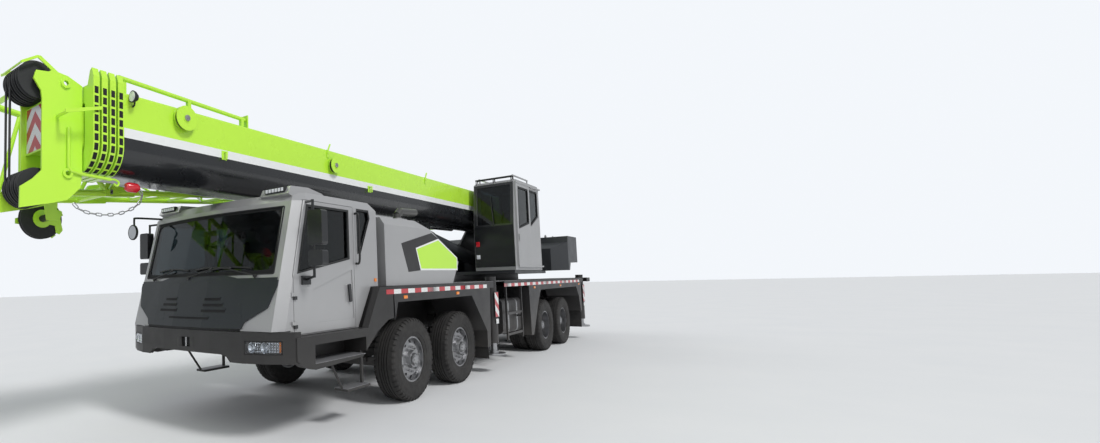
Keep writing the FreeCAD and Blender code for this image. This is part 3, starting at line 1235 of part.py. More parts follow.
def height_at(chord, station):
    """Height of a chord, given by its bends, at a station."""
    for (x0, z0), (x1, z1) in zip(chord, chord[1:]):
        if x1 <= station <= x0:
            return z0 + (z1 - z0) * (x0 - station) / (x0 - x1)
    raise ValueError(f"no chord at {station}")


def chord_parts(name, chord, across, front, rear, radius):
    """The round bars of one chord between two stations."""
    inner = [spot for spot in chord if rear < spot[0] < front]
    spots = [(front, height_at(chord, front))] + inner + [(rear, height_at(chord, rear))]
    bars = []
    for number, (ahead, behind) in enumerate(zip(spots, spots[1:])):
        bars.append(strut(f"{name}{number}", (ahead[0], across, ahead[1]), (behind[0], across, behind[1]),
                          radius + (number % 2) * 2))
        if number > 0:
            bars.append(tube(f"{name}_knot{number}", radius + 6, (radius + 6) * 2,
                             (ahead[0], across - radius - 6, ahead[1]), Y_AXIS))
    return bars


def lattice(name, chords, across, stations):
    """Posts and alternating diagonals between a lower and an upper chord."""
    low_chord, high_chord = chords
    bars = []
    for number, station in enumerate(stations):
        low = height_at(low_chord, station)
        high = height_at(high_chord, station)
        bars.append(strut(f"{name}_post{number}", (station, across, low), (station, across, high),
                          brace_radius))
        if number + 1 < len(stations):
            behind = stations[number + 1]
            ends = ((low, height_at(high_chord, behind)),
                    (high, height_at(low_chord, behind)))[number % 2]
            bars.append(strut(f"{name}_brace{number}", (station, across, ends[0]),
                              (behind, across, ends[1]), brace_radius - 2))
    return bars


def cross_bars(name, chord, stations, zigzag):
    """Bars from the inner to the outer side along one chord, with flat diagonals where asked for."""
    bars = []
    for number, station in enumerate(stations):
        height = height_at(chord, station)
        bars.append(strut(f"{name}_cross{number}", (station, jib_inner, height),
                          (station, jib_outer, height), brace_radius - 1))
        if zigzag and number + 1 < len(stations):
            behind = stations[number + 1]
            ends = (jib_inner, jib_outer) if number % 2 == 0 else (jib_outer, jib_inner)
            bars.append(strut(f"{name}_diagonal{number}", (station, ends[0], height),
                              (behind, ends[1], height_at(chord, behind)), brace_radius - 3))
    return bars


def lug(name, across, height, rear, front):
    """A pin lug around a chord's end."""
    return box(name, (rear, front), (across - lug_half, across + lug_half),
               (height - lug_half, height + lug_half))


rear_stations = (940, 190, -560, -1310, -2060, -2810, -3560, -4310, -4980)
front_stations = (1060, 1520, 2100, 2650)
rear_section = []
front_section = []
fork = []
for side_name, across in JIB_SIDES:
    for level, chord in (("low", JIB_LOW), ("high", JIB_HIGH)):
        name = f"jib_{side_name}_{level}"
        splice_height = height_at(chord, JIB_SPLICE)
        rear_section += chord_parts(f"{name}_rear", chord, across, JIB_SPLICE - 20, -5000, chord_radius)
        rear_section.append(lug(f"{name}_rear_lug", across, splice_height, JIB_SPLICE - lug_length,
                                JIB_SPLICE))
        front_section += chord_parts(f"{name}_front", chord, across, 3150, JIB_SPLICE + 20, chord_radius)
        front_section.append(lug(f"{name}_front_lug", across, splice_height, JIB_SPLICE,
                                 JIB_SPLICE + lug_length))
    name = f"jib_{side_name}"
    rear_section += lattice(f"{name}_rear", (JIB_LOW, JIB_HIGH), across, rear_stations)
    front_section += lattice(f"{name}_front", (JIB_LOW, JIB_HIGH), across, front_stations)
    front_section.append(prism(f"{name}_knee_plate", "side", [
        (2960, 2570), (JIB_KNEE, 2540), (JIB_KNEE, 2640), (3170, 2760), (2980, 2800)],
        across - 24, across + 24))
    fork += [
        lug(f"{name}_fork_lug", across, height_at(FORK_LOW, JIB_KNEE + 1), JIB_KNEE, JIB_KNEE + lug_length),
        strut(f"{name}_fork_low", (4150, across, 2504), (3290, across, 2575), 35),
        strut(f"{name}_fork_high", (4205, across, 3466), (2950, across, 3312), 35),
        strut(f"{name}_fork_post", (3905, across, 2530), (3905, across, 3420), 31),
        strut(f"{name}_fork_brace", (3880, across, 3400), (3290, across, 2590), 28),
        strut(f"{name}_fork_rear", (2960, across, 3300), (3300, across, 2610), 24),
        strut(f"{name}_fork_front", (3930, across, 3410), (4140, across, 2520), 22),
        strut(f"{name}_fork_thin", (3200, across, 3340), (3640, across, 2560), 14),
        strut(f"{name}_fork_tie", (3400, across, 3360), (3890, across, 2700), 14),
        prism(f"{name}_fork_plate", "side", [
            (2880, 3190), (2890, 3350), (3010, 3362), (3240, 3380), (3180, 3060), (3040, 3080)],
            across - 12, across + 12),
        prism(f"{name}_fork_clevis_outer", "side", [
            (4120, 2470), (4230, 2465), (4230, 2540), (4120, 2545)], across - 50, across - 22),
        prism(f"{name}_fork_clevis_inner", "side", [
            (4120, 2470), (4230, 2465), (4230, 2540), (4120, 2545)], across + 22, across + 50)]
for level, chord in (("low", JIB_LOW), ("high", JIB_HIGH)):
    rear_section += cross_bars(f"jib_rear_{level}", chord, rear_stations, True)
    front_section += cross_bars(f"jib_front_{level}", chord, front_stations, True)
front_section.append(strut("jib_knee_tube", (3100, jib_inner, 2680), (3100, jib_outer, 2680), 40))
for number, (station, height, radius) in enumerate((
        (3290, 2577, 30), (3905, 2520, 24), (4140, 2505, 30), (4190, 3464, 26), (3905, 3429, 24),
        (3300, 3355, 20), (2965, 3230, 30))):
    fork.append(strut(f"fork_cross{number}", (station, jib_inner, height), (station, jib_outer, height),
                      radius))
fork.append(strut("fork_web0", (3290, jib_inner, 2577), (3905, jib_outer, 2520), 16))
fork.append(strut("fork_web1", (3905, jib_outer, 3429), (3300, jib_inner, 3355), 16))
STAY = [(1640, 3395), (1640, 3335), (2880, 3235), (2880, 3305)]  # stay bar seen from the side
stay_bar = prism("jib_stay", "side", STAY, jib_middle - 28, jib_middle + 28)
stay_holes = [tube(f"jib_stay_hole{number}", 13, 100, (station, jib_middle - 50, height), Y_AXIS)
              for number, (station, height) in enumerate((
                  (1760, 3358), (2000, 3338), (2240, 3319), (2480, 3300), (2720, 3281)))]
front_section.append(box("stay_foot", (1500, 1640), (jib_middle - 40, jib_middle + 40), (3340, 3400)))
fork.append(box("stay_head", (2880, 3000), (jib_middle - 40, jib_middle + 40), (3200, 3310)))
for number, station in enumerate((1140, -3560)):
    foot_height = height_at(JIB_LOW, station)
    bracket = [
        box(f"jib_bracket{number}", (station - 60, station + 60), (jib_inner, -boom_half),
            (foot_height - 20, foot_height + 20)),
        box(f"jib_bracket_plate{number}", (station - 100, station + 100),
            (-boom_half - 20, -boom_half), (foot_height + 120, foot_height + 420)),
        prism(f"jib_bracket_web{number}", "front", [
            (jib_inner, foot_height - 15), (-boom_half, foot_height + 120),
            (-boom_half, foot_height + 420), (jib_inner, foot_height + 20)],
            station - 10, station + 10)]
    if number == 0:
        front_section += bracket
    else:
        rear_section += bracket
node("jib", group("jib_set", [fuse("jib_rear", rear_section), fuse("jib_front", front_section),
                              fuse("jib_fork", fork), cut("jib_stay_bar", stay_bar, stay_holes)]))

# Build, check and write every sub-part

os.makedirs("parts", exist_ok=True)
doc.recompute()
for thing in doc.Objects:
    if "Invalid" in thing.State or "Error" in thing.State:
        raise RuntimeError(f"{thing.Label} did not build: {thing.State}")
for thing in nodes:
    if thing.Shape.isNull() or not thing.Shape.isValid():
        raise RuntimeError(f"{thing.Label} has no valid shape")
for thing in nodes:
    thing.Shape.exportStep(f"parts/{thing.Label}.step")
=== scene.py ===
import math
import random

import bmesh
import bpy
from mathutils import Matrix, Vector


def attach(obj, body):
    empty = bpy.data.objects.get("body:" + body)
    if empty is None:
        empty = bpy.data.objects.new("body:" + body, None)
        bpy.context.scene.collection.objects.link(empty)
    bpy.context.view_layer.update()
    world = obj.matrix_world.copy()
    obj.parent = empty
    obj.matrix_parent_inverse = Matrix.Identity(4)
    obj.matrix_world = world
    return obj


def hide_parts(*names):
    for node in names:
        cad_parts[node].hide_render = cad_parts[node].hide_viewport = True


# Looks of the truck crane, metres. Stations are measured forward from the first axle, as in the part.
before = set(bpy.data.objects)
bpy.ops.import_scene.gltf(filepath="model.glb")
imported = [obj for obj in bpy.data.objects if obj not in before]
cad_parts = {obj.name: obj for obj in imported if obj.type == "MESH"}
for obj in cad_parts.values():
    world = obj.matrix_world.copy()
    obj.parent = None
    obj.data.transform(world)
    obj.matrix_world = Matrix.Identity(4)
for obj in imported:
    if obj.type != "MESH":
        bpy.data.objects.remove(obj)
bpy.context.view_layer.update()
AXLE1_X = 2.345
SIDES = (("left", 1), ("right", -1))


def at(station, across, height):
    """A point in the row frame from a station, a place across and a height."""
    return Vector((station + AXLE1_X, across, height))


# Materials

def new_material(name):
    """An empty node material with its shader, its output and its nodes' own coordinates."""
    made = bpy.data.materials.new(name)
    made.use_nodes = True
    tree = made.node_tree
    tree.nodes.clear()
    shader = tree.nodes.new("ShaderNodeBsdfPrincipled")
    output = tree.nodes.new("ShaderNodeOutputMaterial")
    tree.links.new(shader.outputs["BSDF"], output.inputs["Surface"])
    place = tree.nodes.new("ShaderNodeTexCoord")
    return made, tree, shader, place.outputs["Object"]


def noise(tree, place, scale, detail=4.0, rough=0.55):
    """A noise value over the object's own coordinates."""
    made = tree.nodes.new("ShaderNodeTexNoise")
    made.inputs["Scale"].default_value = scale
    made.inputs["Detail"].default_value = detail
    made.inputs["Roughness"].default_value = rough
    tree.links.new(place, made.inputs["Vector"])
    return made.outputs["Fac"]


def ramp(tree, value, stops):
    """A colour ramp; each stop is (place, value or colour)."""
    made = tree.nodes.new("ShaderNodeValToRGB")
    elements = made.color_ramp.elements
    while len(elements) < len(stops):
        elements.new(0.5)
    for element, (spot, tone) in zip(elements, stops):
        element.position = spot
        element.color = (tone, tone, tone, 1) if isinstance(tone, float) else (*tone, 1)
    tree.links.new(value, made.inputs["Fac"])
    return made.outputs["Color"]


def mix(tree, share, first, second):
    """A colour between two colours or sockets."""
    made = tree.nodes.new("ShaderNodeMix")
    made.data_type = "RGBA"
    tree.links.new(share, made.inputs["Factor"])
    for socket, tone in ((made.inputs["A"], first), (made.inputs["B"], second)):
        if isinstance(tone, tuple):
            socket.default_value = (*tone, 1)
        else:
            tree.links.new(tone, socket)
    return made.outputs["Result"]


def math_node(tree, operation, first, second=None):
    """One arithmetic step on sockets or numbers."""
    made = tree.nodes.new("ShaderNodeMath")
    made.operation = operation
    made.use_clamp = operation in ("MULTIPLY", "ADD")
    for slot_number, value in enumerate((first, second)):
        if value is None:
            continue
        if isinstance(value, float):
            made.inputs[slot_number].default_value = value
        else:
            tree.links.new(value, made.inputs[slot_number])
    return made.outputs[0]


def axis_of(tree, place, axis):
    """One of the object's own coordinates."""
    split = tree.nodes.new("ShaderNodeSeparateXYZ")
    tree.links.new(place, split.inputs[0])
    return split.outputs[axis]


def bump(tree, shader, height, depth, strength):
    """Fine relief in the surface."""
    made = tree.nodes.new("ShaderNodeBump")
    made.inputs["Strength"].default_value = strength
    made.inputs["Distance"].default_value = depth
    tree.links.new(height, made.inputs["Height"])
    tree.links.new(made.outputs["Normal"], shader.inputs["Normal"])


DUST = (0.30, 0.27, 0.23)


def beyond(tree, place, axis, limit, absolute=False):
    """1 where a coordinate, or its absolute value, passes a limit, else 0."""
    value = axis_of(tree, place, axis)
    if absolute:
        value = math_node(tree, "ABSOLUTE", value)
    return math_node(tree, "GREATER_THAN", value, limit)


def paint(name, tone, rough=0.35, metallic=0.0, coat=0.4, vary=0.06, peel=0.12, dust=0.25,
          dust_top=1.2, zone=None, zone_tone=(0.018, 0.019, 0.021)):
    """Sprayed paint: slight tone drift, orange peel, and road dust that thins out upwards.

    zone: (axis, limit, absolute) of the part of the piece that has the zone's tone instead.
    """
    made, tree, shader, place = new_material(name)
    light = tuple(min(1.0, c * (1 + vary)) for c in tone)
    dark = tuple(c * (1 - vary) for c in tone)
    body_tone = mix(tree, noise(tree, place, 1.3), dark, light)
    if zone:
        body_tone = mix(tree, beyond(tree, place, *zone), body_tone, zone_tone)
    if dust:
        height = axis_of(tree, place, "Z")
        low = math_node(tree, "SUBTRACT", dust_top + 0.0, height)
        share = math_node(tree, "MULTIPLY", low, noise(tree, place, 5.0, 6.0))
        share = math_node(tree, "MULTIPLY", share, float(dust))
        body_tone = mix(tree, share, body_tone, DUST)
    tree.links.new(body_tone, shader.inputs["Base Color"])
    gloss = ramp(tree, noise(tree, place, 3.0, 5.0), ((0.3, rough * 0.85), (0.7, min(1.0, rough * 1.2))))
    tree.links.new(gloss, shader.inputs["Roughness"])
    shader.inputs["Metallic"].default_value = metallic
    shader.inputs["Coat Weight"].default_value = coat
    shader.inputs["Coat Roughness"].default_value = 0.12
    bump(tree, shader, noise(tree, place, 420.0, 2.0), 0.0006, peel)
    return made


SILVER = (0.40, 0.398, 0.402)
GREEN = (0.50, 0.84, 0.050)
CARRIER = (0.024, 0.023, 0.024)
BLACK = (0.012, 0.013, 0.015)
WHITE = (0.78, 0.79, 0.78)
RED = (0.50, 0.018, 0.030)

silver = paint("silver_paint", SILVER, rough=0.34, metallic=0.35, coat=0.6)
door_paint = paint("door_paint", SILVER, rough=0.34, metallic=0.35, coat=0.6, zone=("Y", 1.2535, True))
hood_paint = paint("hood_paint", SILVER, rough=0.36, metallic=0.35, coat=0.5, zone=("Z", 2.384, False),
                   zone_tone=(0.060, 0.058, 0.055))
green = paint("lime_paint", GREEN, rough=0.32, coat=0.6, vary=0.04, dust=0.0)
carrier = paint("carrier_paint", CARRIER, rough=0.48, coat=0.1, vary=0.12, dust=0.28)
mask_paint = paint("mask_paint", (0.016, 0.020, 0.023), rough=0.42, coat=0.1, dust=0.05)
bumper_paint = paint("bumper_paint", (0.021, 0.020, 0.020), rough=0.48, coat=0.05, vary=0.1, dust=0.12)
super_paint = paint("superstructure_paint", (0.040, 0.043, 0.048), rough=0.42, coat=0.2, dust=0.0)
black_paint = paint("gloss_black", BLACK, rough=0.22, coat=0.7, dust=0.0)
white_paint = paint("white_paint", WHITE, rough=0.4, coat=0.2, dust=0.1, vary=0.03)
plastic = paint("black_plastic", (0.014, 0.015, 0.016), rough=0.6, coat=0.0, peel=0.35, dust=0.05,
                dust_top=2.6)
frit_and_painted_shade = paint("matt_black", (0.005, 0.005, 0.006), rough=0.75, coat=0.0, peel=0.2, dust=0.0)
iron = paint("cast_iron", (0.035, 0.034, 0.034), rough=0.72, coat=0.0, peel=0.6, vary=0.25, dust=0.6)


def metal(name, tone, rough, streak=60.0):
    """Bare metal with fine brushed streaks and slight tarnish."""
    made, tree, shader, place = new_material(name)
    tarnish = tuple(c * 0.72 for c in tone)
    tree.links.new(mix(tree, noise(tree, place, 9.0, 6.0), tarnish, tone), shader.inputs["Base Color"])
    shader.inputs["Metallic"].default_value = 1.0
    tree.links.new(ramp(tree, noise(tree, place, streak, 3.0), ((0.3, rough * 0.7), (0.75, rough * 1.5))),
                   shader.inputs["Roughness"])
    bump(tree, shader, noise(tree, place, streak * 6, 2.0), 0.0005, 0.1)
    return made


chrome = metal("chrome", (0.80, 0.80, 0.81), 0.10)
lamp_bowl = metal("lamp_bowl", (0.50, 0.52, 0.55), 0.08)
wheel_metal = metal("wheel_metal", (0.43, 0.43, 0.44), 0.36, 14.0)
rope_wire = metal("greased_rope", (0.10, 0.10, 0.105), 0.45)
steel = metal("machined_steel", (0.50, 0.50, 0.51), 0.32)
mirror_glass = metal("mirror_glass", (0.82, 0.84, 0.86), 0.03)


def rubber():
    """Tyre rubber: matt black, with faint patchy dust and moulding grain."""
    made, tree, shader, place = new_material("tyre_rubber")
    share = math_node(tree, "MULTIPLY", noise(tree, place, 7.0, 8.0), 0.10)
    tree.links.new(mix(tree, share, (0.011, 0.011, 0.012), DUST), shader.inputs["Base Color"])
    tree.links.new(ramp(tree, noise(tree, place, 12.0), ((0.3, 0.68), (0.7, 0.9))),
                   shader.inputs["Roughness"])
    bump(tree, shader, noise(tree, place, 260.0, 3.0), 0.001, 0.3)
    return made


def glass(name, tone, haze=0.02):
    """Tinted glazing with a faint film on it."""
    made, tree, shader, place = new_material(name)
    shader.inputs["Base Color"].default_value = (*tone, 1)
    shader.inputs["Transmission Weight"].default_value = 1.0
    shader.inputs["IOR"].default_value = 1.45
    tree.links.new(ramp(tree, noise(tree, place, 4.0), ((0.3, 0.0), (0.8, haze))),
                   shader.inputs["Roughness"])
    return made


def lamp(name, tone, glow=0.0):
    """A moulded lamp lens with a ribbed face."""
    made, tree, shader, place = new_material(name)
    wave = tree.nodes.new("ShaderNodeTexWave")
    wave.inputs["Scale"].default_value = 40.0
    tree.links.new(place, wave.inputs["Vector"])
    tree.links.new(mix(tree, wave.outputs["Fac"], tuple(c * 0.8 for c in tone), tone),
                   shader.inputs["Base Color"])
    shader.inputs["Roughness"].default_value = 0.12
    shader.inputs["Coat Weight"].default_value = 0.8
    # Where this material lies on a piece that is no lamp, such as the overhaul weight, the glow is painted
    if glow:
        shader.inputs["Emission Color"].default_value = (*tone, 1)
        shader.inputs["Emission Strength"].default_value = glow
    bump(tree, shader, wave.outputs["Fac"], 0.002, 0.4)
    return made


def reflective(name, tone):
    """Reflective tape with its honeycomb cells."""
    made, tree, shader, place = new_material(name)
    cells = tree.nodes.new("ShaderNodeTexVoronoi")
    cells.feature = "DISTANCE_TO_EDGE"
    cells.inputs["Scale"].default_value = 240.0
    tree.links.new(place, cells.inputs["Vector"])
    edge = ramp(tree, cells.outputs["Distance"], ((0.0, 0.0), (0.12, 1.0)))
    tree.links.new(mix(tree, edge, tuple(c * 0.6 for c in tone), tone), shader.inputs["Base Color"])
    shader.inputs["Roughness"].default_value = 0.3
    shader.inputs["Coat Weight"].default_value = 0.5
    return made


def fabric(name, tone):
    """Woven seat cloth."""
    made, tree, shader, place = new_material(name)
    weave = []
    for bands in ("X", "Y"):
        wave = tree.nodes.new("ShaderNodeTexWave")
        wave.bands_direction = bands
        wave.inputs["Scale"].default_value = 160.0
        tree.links.new(place, wave.inputs["Vector"])
        weave.append(wave.outputs["Fac"])
    threads = math_node(tree, "MULTIPLY", weave[0], weave[1])
    tree.links.new(mix(tree, threads, tuple(c * 0.55 for c in tone), tone), shader.inputs["Base Color"])
    shader.inputs["Roughness"].default_value = 0.9
    shader.inputs["Sheen Weight"].default_value = 0.3
    bump(tree, shader, threads, 0.0015, 0.5)
    return made


def tread_plate():
    """Chequered step plate in worn steel."""
    made, tree, shader, place = new_material("tread_plate")
    dots = tree.nodes.new("ShaderNodeTexVoronoi")
    dots.inputs["Scale"].default_value = 38.0
    dots.inputs["Randomness"].default_value = 0.15
    tree.links.new(place, dots.inputs["Vector"])
    knobs = ramp(tree, dots.outputs["Distance"], ((0.18, 1.0), (0.32, 0.0)))
    tree.links.new(mix(tree, knobs, (0.26, 0.26, 0.27), (0.60, 0.60, 0.61)), shader.inputs["Base Color"])
    shader.inputs["Metallic"].default_value = 0.35
    shader.inputs["Roughness"].default_value = 0.38
    bump(tree, shader, knobs, 0.004, 0.8)
    return made


tyre_rubber = rubber()
windscreen = glass("windscreen_glass", (0.10, 0.135, 0.15))
side_glass = glass("side_glass", (0.10, 0.12, 0.125))
clear_lens = glass("clear_lens", (0.92, 0.94, 0.96), haze=0.02)
red_lamp_and_painted_glow = lamp("red_lamp_and_painted_glow", (0.55, 0.01, 0.02), glow=0.15)
amber_lamp = lamp("amber_lamp", (0.80, 0.22, 0.01), glow=0.15)
white_lamp = lamp("white_lamp", (0.85, 0.87, 0.90), glow=0.1)
red_tape = reflective("red_tape", RED)
white_tape = reflective("white_tape", WHITE)
seat_cloth = fabric("seat_cloth", (0.055, 0.055, 0.060))
trim_cloth = fabric("seat_side_cloth", (0.030, 0.030, 0.034))
step_plate = tread_plate()


def boom_material():
    """Boom base: lime above, a white stripe along the side, gloss black below."""
    made, tree, shader, place = new_material("boom_paint")
    height = axis_of(tree, place, "Z")
    lime = mix(tree, noise(tree, place, 1.3), tuple(c * 0.96 for c in GREEN), GREEN)
    above_black = math_node(tree, "GREATER_THAN", height, STRIPE_LOW)
    above_white = math_node(tree, "GREATER_THAN", height, STRIPE_HIGH)
    lower = mix(tree, above_black, BLACK, WHITE)
    side_tone = mix(tree, above_white, lower, lime)
    side_tone = mix(tree, beyond(tree, place, "X", COLLAR_REAR), side_tone, lime)
    tree.links.new(side_tone, shader.inputs["Base Color"])
    tree.links.new(ramp(tree, noise(tree, place, 2.5, 5.0), ((0.3, 0.2), (0.7, 0.34))),
                   shader.inputs["Roughness"])
    shader.inputs["Coat Weight"].default_value = 0.6
    shader.inputs["Coat Roughness"].default_value = 0.08
    bump(tree, shader, noise(tree, place, 420.0, 2.0), 0.0006, 0.12)
    return made


STRIPE_LOW, STRIPE_HIGH = 2.93, 3.02  # heights of the white stripe
COLLAR_REAR = 3.640 + AXLE1_X  # where the green collar starts
boom_paint = boom_material()

NODE_MATERIALS = (
    (silver, ("cab_shell", "operator_cab", "operator_door")),
    (door_paint, ("door_left", "door_right")),
    (hood_paint, ("engine_hood",)),
    (mask_paint, ("front_mask",)),
    (bumper_paint, ("bumper",)),
    (carrier, ("chassis_frame", "axles", "outrigger_boxes", "carrier_deck",
               "side_equipment", "outrigger_beam_front_left", "outrigger_beam_front_right",
               "outrigger_beam_rear_left", "outrigger_beam_rear_right")),
    (windscreen, ("cab_glass", "operator_cab_glass")),
    (side_glass, ("door_glass_left", "door_glass_right")),
    (iron, ("engine_block", "knuckle_axle1_left", "knuckle_axle1_right", "knuckle_axle2_left",
            "knuckle_axle2_right")),
    (boom_paint, ("boom_base",)),
    (green, ("boom_section_2", "boom_section_3", "boom_section_4", "boom_section_5", "jib")),
    (super_paint, ("turntable", "luff_barrel", "machinery_cover", "counterweight")),
    (plastic, ("boom_sheaves", "cab_interior")),
    (chrome, ("luff_rod",)),
    (steel, ("outrigger_jack_front_left", "outrigger_jack_front_right", "outrigger_jack_rear_left",
             "outrigger_jack_rear_right")),
    (wheel_metal, ("rim_axle1_left", "rim_axle1_right", "rim_axle2_left", "rim_axle2_right",
                   "rims_axle3_left", "rims_axle3_right", "rims_axle4_left", "rims_axle4_right")),
    (tyre_rubber, ("tyre_axle1_left", "tyre_axle1_right", "tyre_axle2_left", "tyre_axle2_right",
                   "tyres_axle3_left", "tyres_axle3_right", "tyres_axle4_left", "tyres_axle4_right")),
    (clear_lens, ("headlamps",)),
)
for look, names in NODE_MATERIALS:
    for name in names:
        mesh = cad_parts[name].data
        mesh.materials.clear()
        mesh.materials.append(look)

# Mesh building: forms are gathered in stations and finished as pieces in the row frame

AXES = {"X": (0, 1, 2), "Y": (1, 2, 0), "Z": (2, 0, 1)}


class Form:
    """Vertices and faces gathered for one piece, each face with the number of its material."""

    def __init__(self):
        self.verts = []
        self.faces = []
        self.looks = []

    def add(self, verts, faces, look=0):
        """Take in vertices with their faces."""
        base = len(self.verts)
        self.verts += [Vector(v) for v in verts]
        self.faces += [[base + i for i in face] for face in faces]
        self.looks += [look] * len(faces)

    def slab(self, low, high, ease=0.004, look=0):
        """A block between two corners, its edges eased."""
        block = bmesh.new()
        bmesh.ops.create_cube(block, size=1.0)
        middle = [(a + b) / 2 for a, b in zip(low, high)]
        span = [abs(b - a) for a, b in zip(low, high)]
        for vert in block.verts:
            vert.co = Vector([m + c * s for m, c, s in zip(middle, vert.co, span)])
        if ease:
            bmesh.ops.bevel(block, geom=block.edges[:], offset=min(ease, min(span) * 0.4), segments=2,
                            affect="EDGES", profile=0.6)
        block.verts.index_update()
        self.add([v.co.copy() for v in block.verts], [[v.index for v in f.verts] for f in block.faces],
                 look)
        block.free()

    def plate(self, points, axis, low, high, look=0):
        """An outline given in the two other axes, solid from low to high along an axis."""
        along, first, second = AXES[axis]
        verts = []
        for depth in (low, high):
            for a, b in points:
                spot = [0.0, 0.0, 0.0]
                spot[along], spot[first], spot[second] = depth, a, b
                verts.append(spot)
        count = len(points)
        faces = [list(range(count))[::-1], list(range(count, 2 * count))]
        faces += [[i, (i + 1) % count, count + (i + 1) % count, count + i] for i in range(count)]
        self.add(verts, faces, look)

    def lathe(self, profile, centre, axis="Y", steps=48, look=0, closed=True):
        """A profile of (along the axis, radius) turned about an axis through a centre."""
        along, first, second = AXES[axis]
        verts = []
        for step in range(steps):
            angle = 2 * math.pi * step / steps
            for place, radius in profile:
                spot = list(centre)
                spot[along] += place
                spot[first] += radius * math.cos(angle)
                spot[second] += radius * math.sin(angle)
                verts.append(spot)
        count = len(profile)
        faces = []
        for step in range(steps):
            after = (step + 1) % steps
            for i in range(count if closed else count - 1):
                j = (i + 1) % count
                faces.append([step * count + i, step * count + j, after * count + j, after * count + i])
        self.add(verts, faces, look)

    def sweep(self, points, radius, sides=10, look=0):
        """A round bar along a line of points, its ends closed."""
        spots = [Vector(p) for p in points]
        verts = []
        across = None
        for i, spot in enumerate(spots):
            ahead = spots[min(i + 1, len(spots) - 1)] - spots[max(i - 1, 0)]
            ahead.normalize()
            if across is None:
                across = ahead.orthogonal().normalized()
            across = (across - ahead * across.dot(ahead)).normalized()
            other = ahead.cross(across)
            for side in range(sides):
                angle = 2 * math.pi * side / sides
                verts.append(spot + (across * math.cos(angle) + other * math.sin(angle)) * radius)
        faces = [list(range(sides))[::-1],
                 [(len(spots) - 1) * sides + i for i in range(sides)]]
        for i in range(len(spots) - 1):
            for side in range(sides):
                after = (side + 1) % sides
                faces.append([i * sides + side, i * sides + after, (i + 1) * sides + after,
                              (i + 1) * sides + side])
        self.add(verts, faces, look)

    def finish(self, name, body, *looks, smooth=35.0):
        """Make the piece: weld, turn the normals out, shade, give it its materials and its body."""
        mesh = bpy.data.meshes.new(name)
        mesh.from_pydata([v + Vector((AXLE1_X, 0, 0)) for v in self.verts], [], self.faces)
        for look in looks:
            mesh.materials.append(look)
        for polygon, look in zip(mesh.polygons, self.looks):
            polygon.material_index = look
        work = bmesh.new()
        work.from_mesh(mesh)
        bmesh.ops.remove_doubles(work, verts=work.verts, dist=0.00002)
        bmesh.ops.recalc_face_normals(work, faces=work.faces)
        work.to_mesh(mesh)
        work.free()
        mesh.polygons.foreach_set("use_smooth", [True] * len(mesh.polygons))
        mesh.set_sharp_from_angle(angle=math.radians(smooth))
        made = bpy.data.objects.new(name, mesh)
        bpy.context.scene.collection.objects.link(made)
        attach(made, body)
        return made


def arc(points, divisions=8):
    """A smooth line through a few points."""
    spots = [Vector(p) for p in points]
    ends = [spots[0] * 2 - spots[1]] + spots + [spots[-1] * 2 - spots[-2]]
    line = []
    for a, b, c, d in zip(ends, ends[1:], ends[2:], ends[3:]):
        for step in range(divisions):
            t = step / divisions
            line.append(0.5 * (2 * b + (c - a) * t + (2 * a - 5 * b + 4 * c - d) * t ** 2
                               + (3 * b - a - 3 * c + d) * t ** 3))
    return line + [spots[-1]]


def mirrored(points, side):
    """Points on the left side, or their twins on the right."""
    return [(x, y * side, z) for x, y, z in points]


def span(low, high, side):
    """A range across the vehicle on the left side, or its twin on the right."""
    return (low, high) if side > 0 else (-high, -low)


def inset(points, distance):
    """A convex outline drawn in by a distance."""
    middle = [sum(axis) / len(points) for axis in zip(*points)]
    moved = []
    for x, y in points:
        away = math.dist((x, y), middle)
        share = max(0.0, away - distance * 1.25) / away
        moved.append((middle[0] + (x - middle[0]) * share, middle[1] + (y - middle[1]) * share))
    return moved


def band(form, outer, inner, axis, low, high, look=0):
    """A closed border between an outer and an inner outline of as many points."""
    count = len(outer)
    for i in range(count):
        j = (i + 1) % count
        form.plate([outer[i], outer[j], inner[j], inner[i]], axis, low, high, look)


# Tyres with ribs and shoulder lugs, in place of the plain ones

TYRE_RADIUS = 0.535
TRACK_HALF = 1.09
DUAL_SPACING = 0.34
SIDEWALL = ((0.115, 0.287), (0.138, 0.297), (0.149, 0.325), (0.150, 0.343), (0.155, 0.347),
            (0.156, 0.400), (0.157, 0.404), (0.157, 0.412), (0.156, 0.416), (0.154, 0.462),
            (0.149, 0.488), (0.146, 0.491), (0.141, 0.505), (0.128, 0.514))
RIBS = ((0.092, 0.532), (0.068, 0.534), (0.064, 0.519), (0.052, 0.519), (0.048, 0.5345),
        (0.026, 0.535), (0.022, 0.519), (0.010, 0.519), (0.006, 0.535))
LUGS = 44


def tyre(form, station, across):
    """One tyre about its own axle."""
    half = list(SIDEWALL) + list(RIBS)
    profile = half + [(-along, radius) for along, radius in reversed(half)]
    form.lathe(profile, (station, across, TYRE_RADIUS), "Y", 88)
    for side in (1, -1):
        for number in range(LUGS):
            middle = 2 * math.pi * (number + (0.5 if side > 0 else 0.0)) / LUGS
            width = 2 * math.pi / LUGS * 0.30
            verts = []
            for along, radius, skew in ((0.094, 0.533, 0.0), (0.130, 0.530, 0.1), (0.151, 0.508, 0.2),
                                        (0.152, 0.484, 0.2), (0.092, 0.505, 0.0), (0.120, 0.500, 0.1)):
                for edge in (-1, 1):
                    angle = middle + width * (edge + skew)
                    verts.append((station + radius * math.cos(angle), across + along * side,
                                  TYRE_RADIUS + radius * math.sin(angle)))
            form.add(verts, [(0, 1, 3, 2), (2, 3, 5, 4), (4, 5, 7, 6), (0, 2, 10, 8), (1, 3, 11, 9),
                             (2, 4, 6, 10), (3, 5, 7, 11), (0, 1, 9, 8)])


